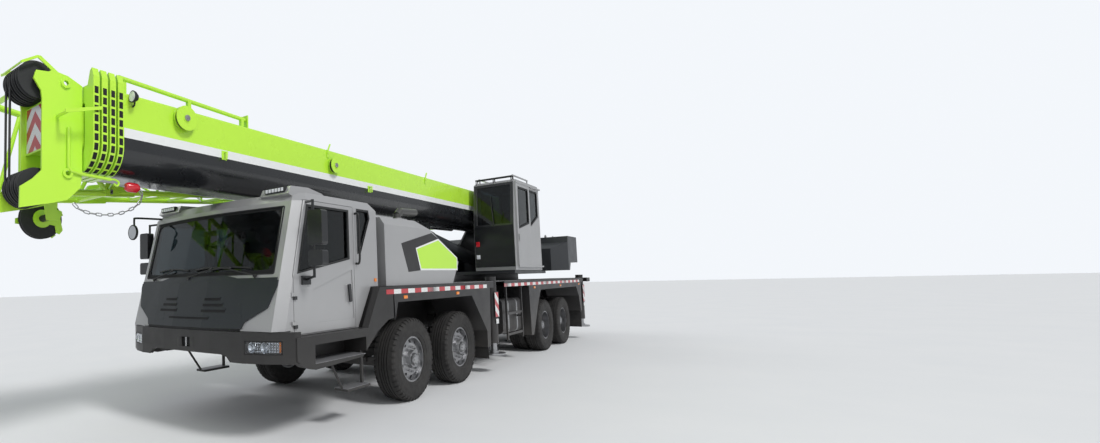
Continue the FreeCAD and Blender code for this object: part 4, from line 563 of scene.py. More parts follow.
AXLE_STATIONS = ((1, 0.0), (2, -1.45), (3, -5.70), (4, -7.05))
for number, station in AXLE_STATIONS:
    for side_name, side in SIDES:
        rubber_form = Form()
        twin = number > 2
        tyre(rubber_form, station, TRACK_HALF * side)
        if twin:
            tyre(rubber_form, station, (TRACK_HALF - DUAL_SPACING) * side)
        kind, wheel = ("tyres", "wheels") if twin else ("tyre", "wheel")
        made = rubber_form.finish(f"tread_axle{number}_{side_name}",
                                  f"{wheel}_axle{number}_{side_name}", tyre_rubber)
        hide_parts(f"{kind}_axle{number}_{side_name}")

# Wheel nuts, studs and hub caps on every wheel

NUTS = 10
for number, station in AXLE_STATIONS:
    twin = number > 2
    disc, ring, cap, cap_out, cap_radius = (
        (0.774, 0.158, 0.050, 0.222, 0.088) if twin else (1.190, 0.158, 0.090, 0.090, 0.080))
    for side_name, side in SIDES:
        fittings = Form()
        for nut in range(NUTS):
            angle = 2 * math.pi * (nut + 0.5) / NUTS
            centre = (station + ring * math.cos(angle), 0.0, TYRE_RADIUS + ring * math.sin(angle))
            hexagon = [(centre[2] + 0.017 * math.sin(k * math.pi / 3), centre[0]
                        + 0.017 * math.cos(k * math.pi / 3)) for k in range(6)]
            fittings.plate(hexagon, "Y", *span(disc + 0.168 if twin else disc, disc + 0.19 if twin
                                               else disc + 0.024, side))
            reach = disc + 0.205 if twin else disc + 0.042
            start = disc if not twin else disc + 0.16
            fittings.sweep([(centre[0], start * side, centre[2]), (centre[0], reach * side, centre[2])],
                           0.009, 8)
        hub_face = 1.142 if twin else 1.242
        fittings.lathe([(0.0, 0.0), (0.004 * side, cap_radius), (0.026 * side, cap_radius - 0.006),
                        (0.034 * side, cap_radius - 0.022), (0.036 * side, 0.0)],
                       (station, hub_face * side, TYRE_RADIUS), "Y", 32)
        for stud in range(8):
            angle = 2 * math.pi * stud / 8
            spot = (station + 0.062 * math.cos(angle), TYRE_RADIUS + 0.062 * math.sin(angle))
            fittings.sweep([(spot[0], (hub_face + 0.02) * side, spot[1]),
                            (spot[0], (hub_face + 0.044) * side, spot[1])], 0.008, 6)
        wheel = "wheels" if twin else "wheel"
        fittings.finish(f"wheel_nuts_axle{number}_{side_name}", f"{wheel}_axle{number}_{side_name}",
                        steel)

# Driver's cab: seals, border, wipers, lamp bars, rails and mirror faces

CAB_FACE = ((1.05, 2.59, 2.69), (1.60, 2.45, 2.56), (2.40, 2.24, 2.35), (2.50, 2.14, 2.24))


def cab_face(across, height):
    """Station of the cab's front face at a place across and a height."""
    for (z0, corner0, nose0), (z1, corner1, nose1) in zip(CAB_FACE, CAB_FACE[1:]):
        if height <= z1 or z1 == CAB_FACE[-1][0]:
            share = (height - z0) / (z1 - z0)
            corner = corner0 + (corner1 - corner0) * share
            nose = nose0 + (nose1 - nose0) * share
            break
    place = abs(across)
    if place <= 0.25:
        return nose
    if place <= 0.65:
        return nose - 0.04 * (place - 0.25) / 0.40
    return nose - 0.04 + (corner - nose + 0.04) * (place - 0.65) / 0.52


def rounded(low, high, radius, steps=6):
    """Corner points of a rounded rectangle, from (across, height) low to high, counted all round."""
    (y0, z0), (y1, z1) = low, high
    points = []
    for cy, cz, start in ((y1 - radius, z1 - radius, 0), (y0 + radius, z1 - radius, 90),
                          (y0 + radius, z0 + radius, 180), (y1 - radius, z0 + radius, 270)):
        for step in range(steps + 1):
            angle = math.radians(start + 90 * step / steps)
            points.append((cy + radius * math.cos(angle), cz + radius * math.sin(angle)))
    return points


def subdivide(points, longest):
    """The same closed line with no run longer than given."""
    line = []
    for a, b in zip(points, points[1:] + points[:1]):
        runs = max(1, math.ceil(math.dist(a, b) / longest))
        line += [(a[0] + (b[0] - a[0]) * i / runs, a[1] + (b[1] - a[1]) * i / runs)
                 for i in range(runs)]
    return line


def face_ribbon(form, outer, inner, offset, thick, look=0, face=cab_face):
    """A border that lies on a front face, the cab's or another, between two outlines of as many points."""
    count = len(outer)
    verts = []
    for depth in (offset, offset + thick):
        for ring in (outer, inner):
            verts += [(face(y, z) + depth, y, z) for y, z in ring]
    faces = []
    for i in range(count):
        j = (i + 1) % count
        faces += [(i, j, count + j, count + i), (2 * count + i, 2 * count + j, 3 * count + j, 3 * count + i),
                  (i, j, 2 * count + j, 2 * count + i), (count + i, count + j, 3 * count + j, 3 * count + i)]
    form.add(verts, faces, look)


screen_edge = subdivide(rounded((-1.088, 1.667), (1.088, 2.343), 0.02), 0.10)
glass_edge = [(y * 0.955, 2.005 + (z - 2.005) * 0.84) for y, z in screen_edge]
clear_edge = subdivide(rounded((-1.058, 1.702), (1.058, 2.315), 0.07), 0.10)


def nearest(points, spot):
    """The point of a line that lies nearest to a spot."""
    return min(points, key=lambda p: math.dist(p, spot))


clear_match = [nearest(subdivide(clear_edge, 0.01), spot) for spot in screen_edge]
border = Form()
face_ribbon(border, screen_edge, clear_match, -0.0105, 0.003)
border.finish("windscreen_border", "carrier", frit_and_painted_shade)
seal = Form()
seal_outer = [(y * 1.012, 2.005 + (z - 2.005) * 1.03) for y, z in screen_edge]
face_ribbon(seal, seal_outer, screen_edge, -0.006, 0.010)
seal.finish("windscreen_seal", "carrier", plastic)

wipers = Form()
for number, (pivot, tip, rise) in enumerate(((-0.86, -0.16, 0.055), (-0.10, 0.52, 0.050),
                                             (0.88, 0.24, 0.045))):
    foot = (cab_face(pivot, 1.640) + 0.010, pivot, 1.640)
    knuckle = (cab_face(pivot, 1.655) + 0.030, pivot, 1.655)
    middle_y = pivot + (tip - pivot) * 0.55
    middle = (cab_face(middle_y, 1.68 + rise) + 0.022, middle_y, 1.68 + rise)
    wipers.sweep([foot, knuckle], 0.020, 12)
    wipers.sweep([knuckle, middle], 0.007, 8)
    blade = []
    for step in range(9):
        y = pivot + (tip - pivot) * (0.12 + 0.88 * step / 8)
        z = 1.690 + rise * 0.8 + 0.02 * math.sin(step / 8 * math.pi)
        blade.append((cab_face(y, z) + 0.004, y, z))
    wipers.sweep(blade, 0.009, 8)
    wipers.sweep([middle, blade[4]], 0.010, 8)
wipers.finish("wipers", "carrier", plastic)

DOOR_WINDOW = [(1.385, 1.812), (2.275, 1.655), (2.112, 2.365), (1.385, 2.365)]
REAR_WINDOW = [(1.23, 1.875), (1.16, 1.89), (0.96, 2.30), (0.985, 2.395), (1.23, 2.395)]


def flip(points):
    """Side outlines are kept as (station, height); forms take (height, station) across the Y axis."""
    return [(z, x) for x, z in points]


for side_name, side in SIDES:
    trim = Form()
    band(trim, flip(DOOR_WINDOW), flip(inset(DOOR_WINDOW, 0.030)), "Y", *span(1.240, 1.2535, side))
    trim.finish(f"door_window_seal_{side_name}", f"door_{side_name}", plastic)
    rear_trim = Form()
    band(rear_trim, flip(REAR_WINDOW), flip(inset(REAR_WINDOW, 0.022)), "Y", *span(1.240, 1.2535, side))
    rear_trim.finish(f"rear_window_seal_{side_name}", "carrier", plastic)
    rail = Form()
    rail.sweep(mirrored(arc([(1.265, 1.248, 2.335), (1.262, 1.300, 2.310), (1.262, 1.305, 2.05),
                             (1.262, 1.300, 1.79), (1.265, 1.248, 1.765)], 6), side), 0.013, 10)
    rail.finish(f"cab_grab_rail_{side_name}", "carrier", plastic)
    faces = Form()
    y0, y1 = span(1.398, 1.542, side)
    for low, high in ((1.948, 2.252), (1.742, 1.864)):
        faces.slab((2.155, y0, low), (2.161, y1, high), 0.002)
    faces.finish(f"mirror_faces_{side_name}", f"door_{side_name}", mirror_glass)
    bar = Form()
    y0, y1 = span(0.790, 1.080, side)
    bar.slab((2.190, y0, 2.500), (2.246, y1, 2.560), 0.010, 0)
    for led in range(6):
        led_y = y0 + 0.035 + led * 0.044
        bar.slab((2.240, led_y - 0.016, 2.512), (2.250, led_y + 0.016, 2.548), 0.003, 1)
    bar.finish(f"roof_lamp_bar_{side_name}", "carrier", plastic, white_lamp)

antenna = Form()
antenna.lathe([(0.0, 0.0), (0.0, 0.045), (0.03, 0.04), (0.05, 0.0)], (1.10, 0.35, 2.497), "Z", 24)
antenna.sweep([(1.10, 0.35, 2.53), (1.09, 0.35, 2.572)], 0.012, 8)
antenna.finish("roof_antenna", "carrier", plastic)

# Cab front: round mirror, headlamps, mask and bumper fittings

round_mirror = Form()
round_mirror.lathe([(-0.006, 0.0), (-0.004, 0.088), (0.006, 0.096), (0.024, 0.096), (0.030, 0.091)],
                   (2.561, -1.200, 2.245), "X", 40, 0)
round_mirror.lathe([(0.0275, 0.0), (0.0275, 0.060), (0.0265, 0.088), (0.020, 0.088), (0.020, 0.0)],
                   (2.561, -1.200, 2.245), "X", 40, 1)
round_mirror.sweep(arc([(2.19, -1.088, 2.425), (2.40, -1.150, 2.427), (2.545, -1.196, 2.425),
                        (2.560, -1.200, 2.405), (2.560, -1.200, 2.330)], 5), 0.0125, 10, 0)
round_mirror.finish("round_mirror", "carrier", plastic, mirror_glass)

BUMPER_EDGE = ((1.360, 2.450), (1.100, 2.590), (0.860, 2.665), (0.400, 2.690), (0.0, 2.690))


def bumper_face(across):
    """Station of the bumper's outer face at a place across."""
    place = abs(across)
    for (y0, x0), (y1, x1) in zip(BUMPER_EDGE, BUMPER_EDGE[1:]):
        if place >= y1:
            return x0 + (x1 - x0) * (y0 - place) / (y0 - y1)
    return BUMPER_EDGE[-1][1]


LAMP_LOW, LAMP_HIGH = 0.892, 1.014
LAMP_INNER, LAMP_OUTER = 0.884, 1.246


def lamp_sheet(form, low, high, behind, thick, side, look):
    """A sheet that follows the bumper's face between two places across."""
    steps = 12
    verts = []
    for depth in (behind, behind + thick):
        for z in (low[1], high[1]):
            for step in range(steps + 1):
                y = low[0] + (high[0] - low[0]) * step / steps
                verts.append((bumper_face(y) - depth, y * side, z))
    row = steps + 1
    faces = []
    for i in range(steps):
        faces += [(i, i + 1, row + i + 1, row + i),
                  (2 * row + i, 2 * row + i + 1, 3 * row + i + 1, 3 * row + i),
                  (i, i + 1, 2 * row + i + 1, 2 * row + i),
                  (row + i, row + i + 1, 3 * row + i + 1, 3 * row + i)]
    faces += [(0, row, 3 * row, 2 * row), (steps, row + steps, 3 * row + steps, 2 * row + steps)]
    form.add(verts, faces, look)


headlamp = Form()
for side_name, side in SIDES:
    lamp_sheet(headlamp, (LAMP_INNER, LAMP_LOW), (LAMP_OUTER, LAMP_HIGH), 0.003, 0.004, side, 0)
    lamp_sheet(headlamp, (LAMP_INNER, LAMP_LOW), (LAMP_OUTER, LAMP_HIGH), 0.060, 0.004, side, 1)
    for low, high in (((LAMP_INNER, LAMP_LOW), (LAMP_OUTER, LAMP_LOW + 0.007)),
                      ((LAMP_INNER, LAMP_HIGH - 0.007), (LAMP_OUTER, LAMP_HIGH)),
                      ((LAMP_INNER, LAMP_LOW), (LAMP_INNER + 0.008, LAMP_HIGH)),
                      ((LAMP_OUTER - 0.008, LAMP_LOW), (LAMP_OUTER, LAMP_HIGH))):
        lamp_sheet(headlamp, low, high, 0.000, 0.060, side, 2)
    facet_rows, facet_columns = 4, 14
    for row_number in range(facet_rows):
        for column in range(facet_columns):
            y0 = 0.895 + column * 0.0245
            y1 = y0 + 0.0235
            z0 = 0.901 + row_number * 0.0263
            z1 = z0 + 0.0250
            face = bumper_face((y0 + y1) / 2)
            tip = (face - 0.034, (y0 + y1) / 2 * side, (z0 + z1) / 2)
            back = face - 0.052
            verts = [(back, y0 * side, z0), (back, y1 * side, z0), (back, y1 * side, z1),
                     (back, y0 * side, z1), tip]
            headlamp.add(verts, [(0, 1, 4), (1, 2, 4), (2, 3, 4), (3, 0, 4), (3, 2, 1, 0)],
                         3 if column > 11 else 1)
    for bowl_y in (0.955, 1.085):
        bowl_x = bumper_face(bowl_y)
        headlamp.lathe([(-0.050, 0.0), (-0.044, 0.020), (-0.030, 0.038), (-0.012, 0.048),
                        (-0.010, 0.053), (-0.016, 0.054), (-0.055, 0.030)],
                       (bowl_x, bowl_y * side, 0.953), "X", 36, 1)
        headlamp.lathe([(-0.034, 0.0), (-0.020, 0.014), (-0.016, 0.020), (-0.020, 0.024),
                        (-0.045, 0.024), (-0.045, 0.0)], (bowl_x, bowl_y * side, 0.953), "X", 28, 0)
made = headlamp.finish("headlamp_units", "carrier", clear_lens, lamp_bowl, plastic, amber_lamp)
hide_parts("headlamps")

def mask_patch(form, across, heights, near, far, side, look, rise=None):
    """A thin field that follows the cab's face over the mask, its upper edge raised where asked for."""
    steps = 14
    verts = []
    for depth in (near, far):
        for level in (0, 1):
            for step in range(steps + 1):
                y = across[0] + (across[1] - across[0]) * step / steps
                z = heights[level] + (rise(y) if rise and level else 0.0)
                verts.append((cab_face(y, z) + depth, y * side, z))
    row = steps + 1
    faces = [(0, row, 3 * row, 2 * row), (steps, row + steps, 3 * row + steps, 2 * row + steps)]
    for i in range(steps):
        faces += [(i, i + 1, row + i + 1, row + i),
                  (2 * row + i, 2 * row + i + 1, 3 * row + i + 1, 3 * row + i),
                  (i, i + 1, 2 * row + i + 1, 2 * row + i),
                  (row + i, row + i + 1, 3 * row + i + 1, 3 * row + i)]
    form.add(verts, faces, look)


def brow(across):
    """Extra height of the mask's upper edge: raised in the middle."""
    return 0.032 * min(1.0, max(0.0, (0.66 - abs(across)) / 0.10))


front_trim = Form()
mask_patch(front_trim, (-1.150, 1.150), (1.594, 1.626), 0.002, 0.0165, 1, 2, brow)
# Painted shade: the matt black strips under the mask's lips stand for the shaded slots below them
mask_patch(front_trim, (-0.340, 0.340), (1.212, 1.232), 0.0172, 0.0195, 1, 0)
mask_patch(front_trim, (-0.350, 0.350), (1.232, 1.240), 0.0172, 0.0240, 1, 2)
mask_patch(front_trim, (-0.780, 0.780), (1.104, 1.126), 0.002, 0.0165, 1, 0)
for side_name, side in SIDES:
    for number, height in enumerate((1.190, 1.240, 1.290, 1.340)):
        across = (0.462, 0.805 - number * 0.015)
        mask_patch(front_trim, across, (height - 0.004, height + 0.026), 0.004, 0.0172, side, 2)
    for number, height in enumerate((1.285, 1.345, 1.405)):
        across = (0.215 + number * 0.015, 0.560 - number * 0.045)
        # painted shade: a matt black strip under each lip, for the shaded slot
        mask_patch(front_trim, across, (height, height + 0.026), 0.0172, 0.0195, side, 0)
        mask_patch(front_trim, (across[0] - 0.006, across[1] + 0.006), (height + 0.026, height + 0.034),
                   0.0172, 0.0240, side, 2)
    y0, y1 = span(0.070, 0.150, side)
    front_trim.slab((2.664, y0, 0.920), (2.690, y1, 1.020), 0.002, 3)
front_trim.slab((2.6695, -0.070, 0.920), (2.6715, 0.070, 1.020), 0.0005, 0)
front_trim.sweep([(2.680, 0.0, 0.922), (2.680, 0.0, 1.018)], 0.011, 14, 1)
front_trim.finish("front_trim", "carrier", frit_and_painted_shade, steel, mask_paint, bumper_paint)

# Reflective strips and chevrons, thin sheets that lie on their panels

STRIP_STEP = 0.17


def strip(form, axis, low, high, start, end, heights, step=STRIP_STEP):
    """A row of red and white fields between two stations."""
    place, number = start, 0
    while place > end + 0.02:
        after = max(end, place - step)
        if axis == "Y":
            form.plate([(heights[0], after), (heights[0], place), (heights[1], place),
                        (heights[1], after)], "Y", low, high, number % 2)
        else:
            form.plate([(after, heights[0]), (place, heights[0]), (place, heights[1]),
                        (after, heights[1])], "X", low, high, number % 2)
        place, number = after, number + 1


def clip(points, keep):
    """The part of an outline where keep(point) is not negative."""
    kept = []
    for a, b in zip(points, points[1:] + points[:1]):
        ka, kb = keep(a), keep(b)
        if ka >= 0:
            kept.append(a)
        if (ka >= 0) != (kb >= 0):
            share = ka / (ka - kb)
            kept.append((a[0] + (b[0] - a[0]) * share, a[1] + (b[1] - a[1]) * share))
    return kept


def chevrons(form, low, high, pitch, axis, near, far, slope, looks=(0, 1)):
    """Slanting red and white fields over a rectangle given by two corners (first, second axis)."""
    field = [low, (high[0], low[1]), high, (low[0], high[1])]
    first = low[0] - abs(slope) * (high[1] - low[1])
    last = high[0] + abs(slope) * (high[1] - low[1])
    number = 0
    while first + number * pitch < last:
        start = first + number * pitch

        def after_start(p, start=start):
            return p[0] - slope * (p[1] - low[1]) - start

        def before_end(p, end=start + pitch):
            return end - (p[0] - slope * (p[1] - low[1]))

        piece = clip(field, after_start)
        piece = clip(piece, before_end) if len(piece) > 2 else []
        if len(piece) > 2:
            form.plate(piece, axis, near, far, looks[number % 2])
        number += 1


tape = Form()
for side_name, side in SIDES:
    wall_low, wall_high = span(1.3752, 1.3764, side)
    front_end, rear_end = (-2.20, -2.98) if side > 0 else (-2.50, -3.26)
    strip(tape, "Y", wall_low, wall_high, 0.84, front_end, (1.402, 1.458))
    strip(tape, "Y", wall_low, wall_high, rear_end, -8.05, (1.402, 1.458))
tape.finish("side_tape", "carrier", red_tape, white_tape)

rear_tape = Form()
for side_name, side in SIDES:
    y0, y1 = span(0.30, 1.14, side)
    chevrons(rear_tape, (y0, 0.602), (y1, 0.718), 0.10, "X", -9.1312, -9.130, 0.6 * side)
rear_tape.finish("rear_chevrons", "carrier", red_tape, white_tape)

for name, station_left, station_right in (("front", -2.60, -2.88), ("rear", -8.45, -8.73)):
    for side_name, side in SIDES:
        station = station_left if side > 0 else station_right
        board = Form()
        y0, y1 = span(1.3705, 1.3740, side)
        board.slab((station - 0.085, min(y0, y1), 0.900), (station + 0.085, max(y0, y1), 1.330), 0.001, 2)
        near, far = span(1.3741, 1.3749, side)
        chevrons(board, (0.912, station - 0.076), (1.318, station + 0.076), 0.105, "Y", near, far,
                 0.8 if side > 0 else -0.8)
        board.slab((station - 0.055, min(y0, y1), 0.800), (station + 0.055, max(y0, y1), 0.880), 0.001, 1)
        board.finish(f"jack_board_{name}_{side_name}", f"outrigger_beam_{name}_{side_name}", red_tape,
                     white_tape, plastic)

head_board = Form()
for side in (1, -1):
    y0, y1 = (0.0, 0.178) if side > 0 else (-0.178, 0.0)
    chevrons(head_board, (y0, 2.770), (y1, 3.160), 0.105, "X", 4.2501, 4.2516, -1.0 * side)
head_board.finish("head_chevrons", "section_5", red_tape, white_tape)

# Hood: green panel in a white border, and the dark band above it

PANEL = [(-0.085, 1.969), (-0.719, 2.112), (-1.300, 1.866), (-1.290, 1.714), (-0.192, 1.711)]
BORDER = [(-0.060, 1.984), (-0.722, 2.136), (-1.318, 1.878), (-1.312, 1.690), (-0.172, 1.688)]
BAND_UPPER = [(0.310, 2.033), (-0.524, 2.207), (-0.722, 2.136), (-0.060, 1.984)]
BAND_FRONT = [(0.310, 2.033), (-0.060, 1.984), (-0.172, 1.688), (0.150, 1.667)]
for side_name, side in SIDES:
    panel = Form()
    panel.plate(flip(PANEL), "Y", *span(1.2895, 1.2922, side), 0)
    band(panel, flip(BORDER), flip(PANEL), "Y", *span(1.2895, 1.2928, side), 1)
    for outline in (BAND_UPPER, BAND_FRONT):
        panel.plate(flip(outline), "Y", *span(1.2895, 1.2916, side), 2)
    panel.finish(f"hood_panel_{side_name}", "carrier", green, white_paint, carrier)

# Small side fittings: markers, step treads, tank straps, flaps and tail lamps

markers = Form()
for side_name, side in SIDES:
    for station in (0.40, -1.10, -4.60, -6.40, -8.00):
        y0, y1 = span(1.370, 1.3835, side)
        markers.slab((station - 0.045, y0, 1.335), (station + 0.045, y1, 1.375), 0.006, 0)
    y0, y1 = span(1.180, 1.262, side)
    markers.slab((0.86, y0, 1.555), (0.90, y1, 1.595), 0.006, 0)
    for number, lamp_y in enumerate((1.08, 0.98, 0.88)):
        y0, y1 = span(lamp_y - 0.045, lamp_y + 0.045, side)
        markers.slab((-9.139, y0, 0.735), (-9.105, y1, 0.825), 0.008, (1, 0, 2)[number])
markers.finish("marker_lamps", "carrier", amber_lamp, red_lamp_and_painted_glow, white_lamp)

treads = Form()
for side_name, side in SIDES:
    for (x0, x1), (across0, across1), height in (((1.300, 2.165), (1.075, 1.368), 0.770),
                                                 ((1.112, 1.548), (1.112, 1.288), 0.410),
                                                 ((-4.50, -1.42), (0.78, 1.35), 1.500),
                                                 ((-9.10, -8.15), (0.40, 1.33), 1.500)):
        y0, y1 = span(across0, across1, side)
        treads.slab((x0, y0, height - 0.001), (x1, y1, height + 0.004), 0.001, 0)
treads.finish("step_treads", "carrier", step_plate)

flaps = Form()
for side_name, side in SIDES:
    for station, high, low in ((-2.200, 0.468, 0.270), (-8.120, 0.708, 0.300)):
        y0, y1 = span(0.66, 1.36, side)
        flaps.slab((station - 0.006, y0, low), (station + 0.006, y1, high), 0.003, 0)
        flaps.slab((station - 0.012, y0, high - 0.045), (station - 0.005, y1, high - 0.010), 0.002, 1)
flaps.finish("mud_flaps", "carrier", tyre_rubber, steel)

straps = Form()
for side_name, side in SIDES:
    for station in (-3.42, -3.86):
        y0, y1 = span(0.490, 1.260, side)
        inner = rounded((y0, 0.560), (y1, 1.180), 0.090)
        outer = rounded((y0 - 0.004, 0.556), (y1 + 0.004, 1.184), 0.094)
        band(straps, outer, inner, "X", station - 0.030, station + 0.030, 0)
    straps.lathe([(0.0, 0.0), (0.0, 0.050), (0.030, 0.050), (0.036, 0.044), (0.036, 0.0)],
                 (-3.24, 1.02 * side, 1.178), "Z", 28, 1)
straps.finish("tank_straps", "carrier", steel, plastic)

# Superstructure: winch ropes, louvres, lifting eyes, and the operator's cab's front

ropes = Form()
ROPE_RADIUS = 0.010
for station in (-6.48, -7.08):
    turns = 24
    points = []
    for step in range(turns * 20 + 1):
        angle = 2 * math.pi * step / 20
        points.append((station + 0.191 * math.cos(angle), -0.262 + 0.524 * step / (turns * 20),
                       1.975 + 0.191 * math.sin(angle)))
    ropes.sweep(points, ROPE_RADIUS, 6)
ropes.finish("winch_ropes", "superstructure", rope_wire)

louvres = Form()
for station in (-5.85, -6.35, -6.85):
    for number in range(10):
        height = 1.875 + number * 0.044
        louvres.plate([(-1.118, height), (-1.104, height + 0.026), (-1.100, height + 0.026),
                       (-1.114, height)], "X", station - 0.176, station + 0.176, 0)
louvres.finish("cover_louvres", "superstructure", plastic)

eyes = Form()
for side in (1, -1):
    for station in (-8.15, -8.80):
        bow = []
        for step in range(17):
            angle = math.pi * step / 16
            bow.append((station + 0.055 * math.cos(angle), 0.62 * side, 2.540 + 0.075 * math.sin(angle)))
        eyes.sweep(bow, 0.014, 10, 0)
eyes.finish("lifting_eyes", "superstructure", steel)

OPERATOR_INNER, OPERATOR_OUTER = 0.506, 1.274  # across, the cab's two front corners
OPERATOR_BEND = 2.560  # height above which the cab's front leans back


def operator_face(across, height):
    """Station of the operator's cab's front face at a height."""
    return -3.900 - max(0.0, height - OPERATOR_BEND) * 0.1012


operator_front = Form()
operator_front.plate([(OPERATOR_INNER, 1.765), (OPERATOR_OUTER, 1.765), (OPERATOR_OUTER, OPERATOR_BEND),
                      (OPERATOR_INNER, OPERATOR_BEND)], "X", -3.9005, -3.8965, 0)
face_ribbon(operator_front,
            [(OPERATOR_INNER, OPERATOR_BEND), (OPERATOR_OUTER, OPERATOR_BEND), (OPERATOR_OUTER, 3.392),
             (OPERATOR_INNER, 3.392)],
            [(0.562, 2.592), (1.218, 2.592), (1.218, 3.338), (0.562, 3.338)], -0.0005, 0.004, 0,
            operator_face)
operator_front.slab((-3.8970, 0.535, 2.170), (-3.8800, 0.605, 2.270), 0.006, 1)
operator_front.slab((-3.8970, 0.535, 1.930), (-3.8800, 0.605, 2.010), 0.006, 2)
operator_front.finish("operator_front_panel", "superstructure", black_paint, red_lamp_and_painted_glow, white_lamp)

GUARD_HEIGHT = 3.505
guard = Form()
for station in (-4.005, -4.085):
    guard.sweep([(station, 0.530, GUARD_HEIGHT), (station, 1.250, GUARD_HEIGHT)], 0.012, 10)
for bar_number in range(13):
    across = 0.545 + bar_number * 0.0575
    guard.sweep([(-4.005, across, GUARD_HEIGHT), (-4.085, across, GUARD_HEIGHT)], 0.005, 6)
for across in (0.545, 0.890, 1.235):
    guard.sweep([(-4.005, across, 3.405), (-4.005, across, GUARD_HEIGHT)], 0.010, 8)
    guard.sweep([(-4.085, across, 3.445), (-4.085, across, GUARD_HEIGHT)], 0.010, 8)
guard.finish("operator_roof_guard", "superstructure", plastic)


def screen_x(height):
    """Station of the operator's windscreen at a height."""
    return -3.905 - (height - 2.56) * 0.101


operator_wiper = Form()
operator_wiper.sweep([(screen_x(2.55) + 0.012, 0.90, 2.550), (screen_x(2.60) + 0.022, 0.90, 2.600),
                      (screen_x(2.90) + 0.020, 0.86, 2.900)], 0.008, 8)
operator_wiper.sweep([(screen_x(2.70) + 0.010, 0.885, 2.70), (screen_x(3.15) + 0.010, 0.835, 3.15)],
                     0.007, 8)
operator_wiper.finish("operator_wiper", "superstructure", plastic)

DOOR_PANE = [(-4.086, 2.490), (-4.116, 3.303), (-4.694, 3.303), (-4.694, 2.628)]
operator_pane = Form()
operator_pane.plate(flip(DOOR_PANE), "Y", 1.291, 1.297, 0)
operator_pane.finish("operator_door_pane", "operator_door", side_glass)
operator_seal = Form()
band(operator_seal, flip(DOOR_PANE), flip(inset(DOOR_PANE, 0.028)), "Y", 1.296, 1.3165, 0)
operator_seal.finish("operator_door_seal", "operator_door", plastic)
side_seal = Form()
OPERATOR_SIDE = [(-4.870, 2.575), (-5.380, 2.806), (-5.380, 3.322), (-4.870, 3.322)]
band(side_seal, flip(OPERATOR_SIDE), flip(inset(OPERATOR_SIDE, 0.026)), "Y", 1.256, 1.2797, 0)
side_seal.finish("operator_side_seal", "superstructure", plastic)

# Boom: cable on its reels, jib pins, ropes of the head, overhaul weight on its chain

reels = Form()
for station, height, radius in ((2.98, 3.240, 0.104), (0.52, 3.140, 0.086)):
    for turn in range(4):
        reels.lathe([(0.007 * math.sin(a * math.pi / 4), radius + 0.007 * math.cos(a * math.pi / 4))
                     for a in range(8)], (station, 0.417 + turn * 0.0105, height), "Y", 36, 0)
    reels.lathe([(0.0, 0.0), (0.0, radius - 0.004), (0.030, radius - 0.004), (0.030, 0.0)],
                (station, 0.413, height), "Y", 36, 0)
    reels.lathe([(0.0, 0.0), (0.0, 0.034), (0.014, 0.030), (0.020, 0.0)], (station, 0.456, height),
                "Y", 24, 1)
reels.finish("reel_cables", "boom", plastic, steel)

BOOM_SIDE = 0.390  # across, the boom base's left wall
brackets = Form()
for station, height in ((2.450, 2.965), (-0.360, 2.930)):
    brackets.slab((station - 0.035, BOOM_SIDE - 0.001, height - 0.055),
                  (station + 0.035, BOOM_SIDE + 0.010, height + 0.045), 0.004)
    brackets.sweep([(station, BOOM_SIDE + 0.008, height + 0.025), (station, BOOM_SIDE + 0.052, height + 0.025),
                    (station + 0.012, BOOM_SIDE + 0.056, height - 0.060)], 0.011, 10)
for station in (0.622, -2.136):
    brackets.slab((station - 0.024, BOOM_SIDE - 0.001, 3.235), (station + 0.024, BOOM_SIDE + 0.010, 3.345),
                  0.004)
    brackets.sweep([(station + 0.010, BOOM_SIDE + 0.012, 3.290), (station, BOOM_SIDE + 0.014, 3.350),
                    (station - 0.040, BOOM_SIDE + 0.014, 3.425)], 0.012, 10)
brackets.finish("boom_brackets", "boom", green)

# Painted shade round the collars: thin matt black sheets stand for the shaded recesses, so that each collar
# reads as two thin fins with ribs between

COLLAR_SIDE, COLLAR_LOW, COLLAR_ROUND = 0.402, 2.588, 0.250
COLLAR_START = 3.330  # height of the uppermost recess
COLLAR_MOUTH, COLLAR_PITCH = 3.700, 0.078
RECESSES, RECESS_PITCH, RECESS_RUN = 10, 0.084, 0.062


def collar_spot(run, out):
    """Place (across, height) at a run's length down the collar's edge, pushed outwards."""
    straight = COLLAR_START - COLLAR_LOW - COLLAR_ROUND
    if run <= straight:
        return COLLAR_SIDE + out, COLLAR_START - run
    angle = (run - straight) / COLLAR_ROUND
    return (COLLAR_SIDE - COLLAR_ROUND + (COLLAR_ROUND + out) * math.cos(angle),
            COLLAR_LOW + COLLAR_ROUND - (COLLAR_ROUND + out) * math.sin(angle))


for number, body in enumerate(("boom", "section_2", "section_3", "section_4")):
    mouth = COLLAR_MOUTH + COLLAR_PITCH * number
    # These sheets are painted shade: matt black on the collar's face where the hollows would lie in shadow
    recess_shade = Form()
    for side in (1, -1):
        for cell in range(RECESSES):
            verts = []
            for station in (mouth - 0.047, mouth - 0.011):
                for out in (-0.002, 0.0015):
                    for step in range(5):
                        across, height = collar_spot(cell * RECESS_PITCH + RECESS_RUN * step / 4, out)
                        verts.append((station, across * side, height))
            faces = [(0, 5, 15, 10), (4, 9, 19, 14)]
            for a, b in ((0, 5), (5, 15), (15, 10), (10, 0)):
                faces += [(a + i, a + i + 1, b + i + 1, b + i) for i in range(4)]
            recess_shade.add(verts, faces)
    recess_shade.finish(f"collar_recess_shade_{number + 1}", body, frit_and_painted_shade)

work_lamp = Form()
work_lamp.lathe([(-0.045, 0.0), (-0.040, 0.030), (-0.010, 0.052), (0.012, 0.056), (0.012, 0.048),
                 (0.004, 0.0)], (3.585, 0.462, 3.302), "X", 28, 0)
work_lamp.lathe([(0.005, 0.0), (0.010, 0.046), (0.014, 0.046), (0.018, 0.0)], (3.585, 0.462, 3.302),
                "X", 28, 1)
work_lamp.sweep([(3.545, BOOM_SIDE - 0.002, 3.235), (3.560, 0.440, 3.235), (3.570, 0.462, 3.262)], 0.009, 8, 0)
work_lamp.finish("boom_work_lamp", "boom", plastic, white_lamp)

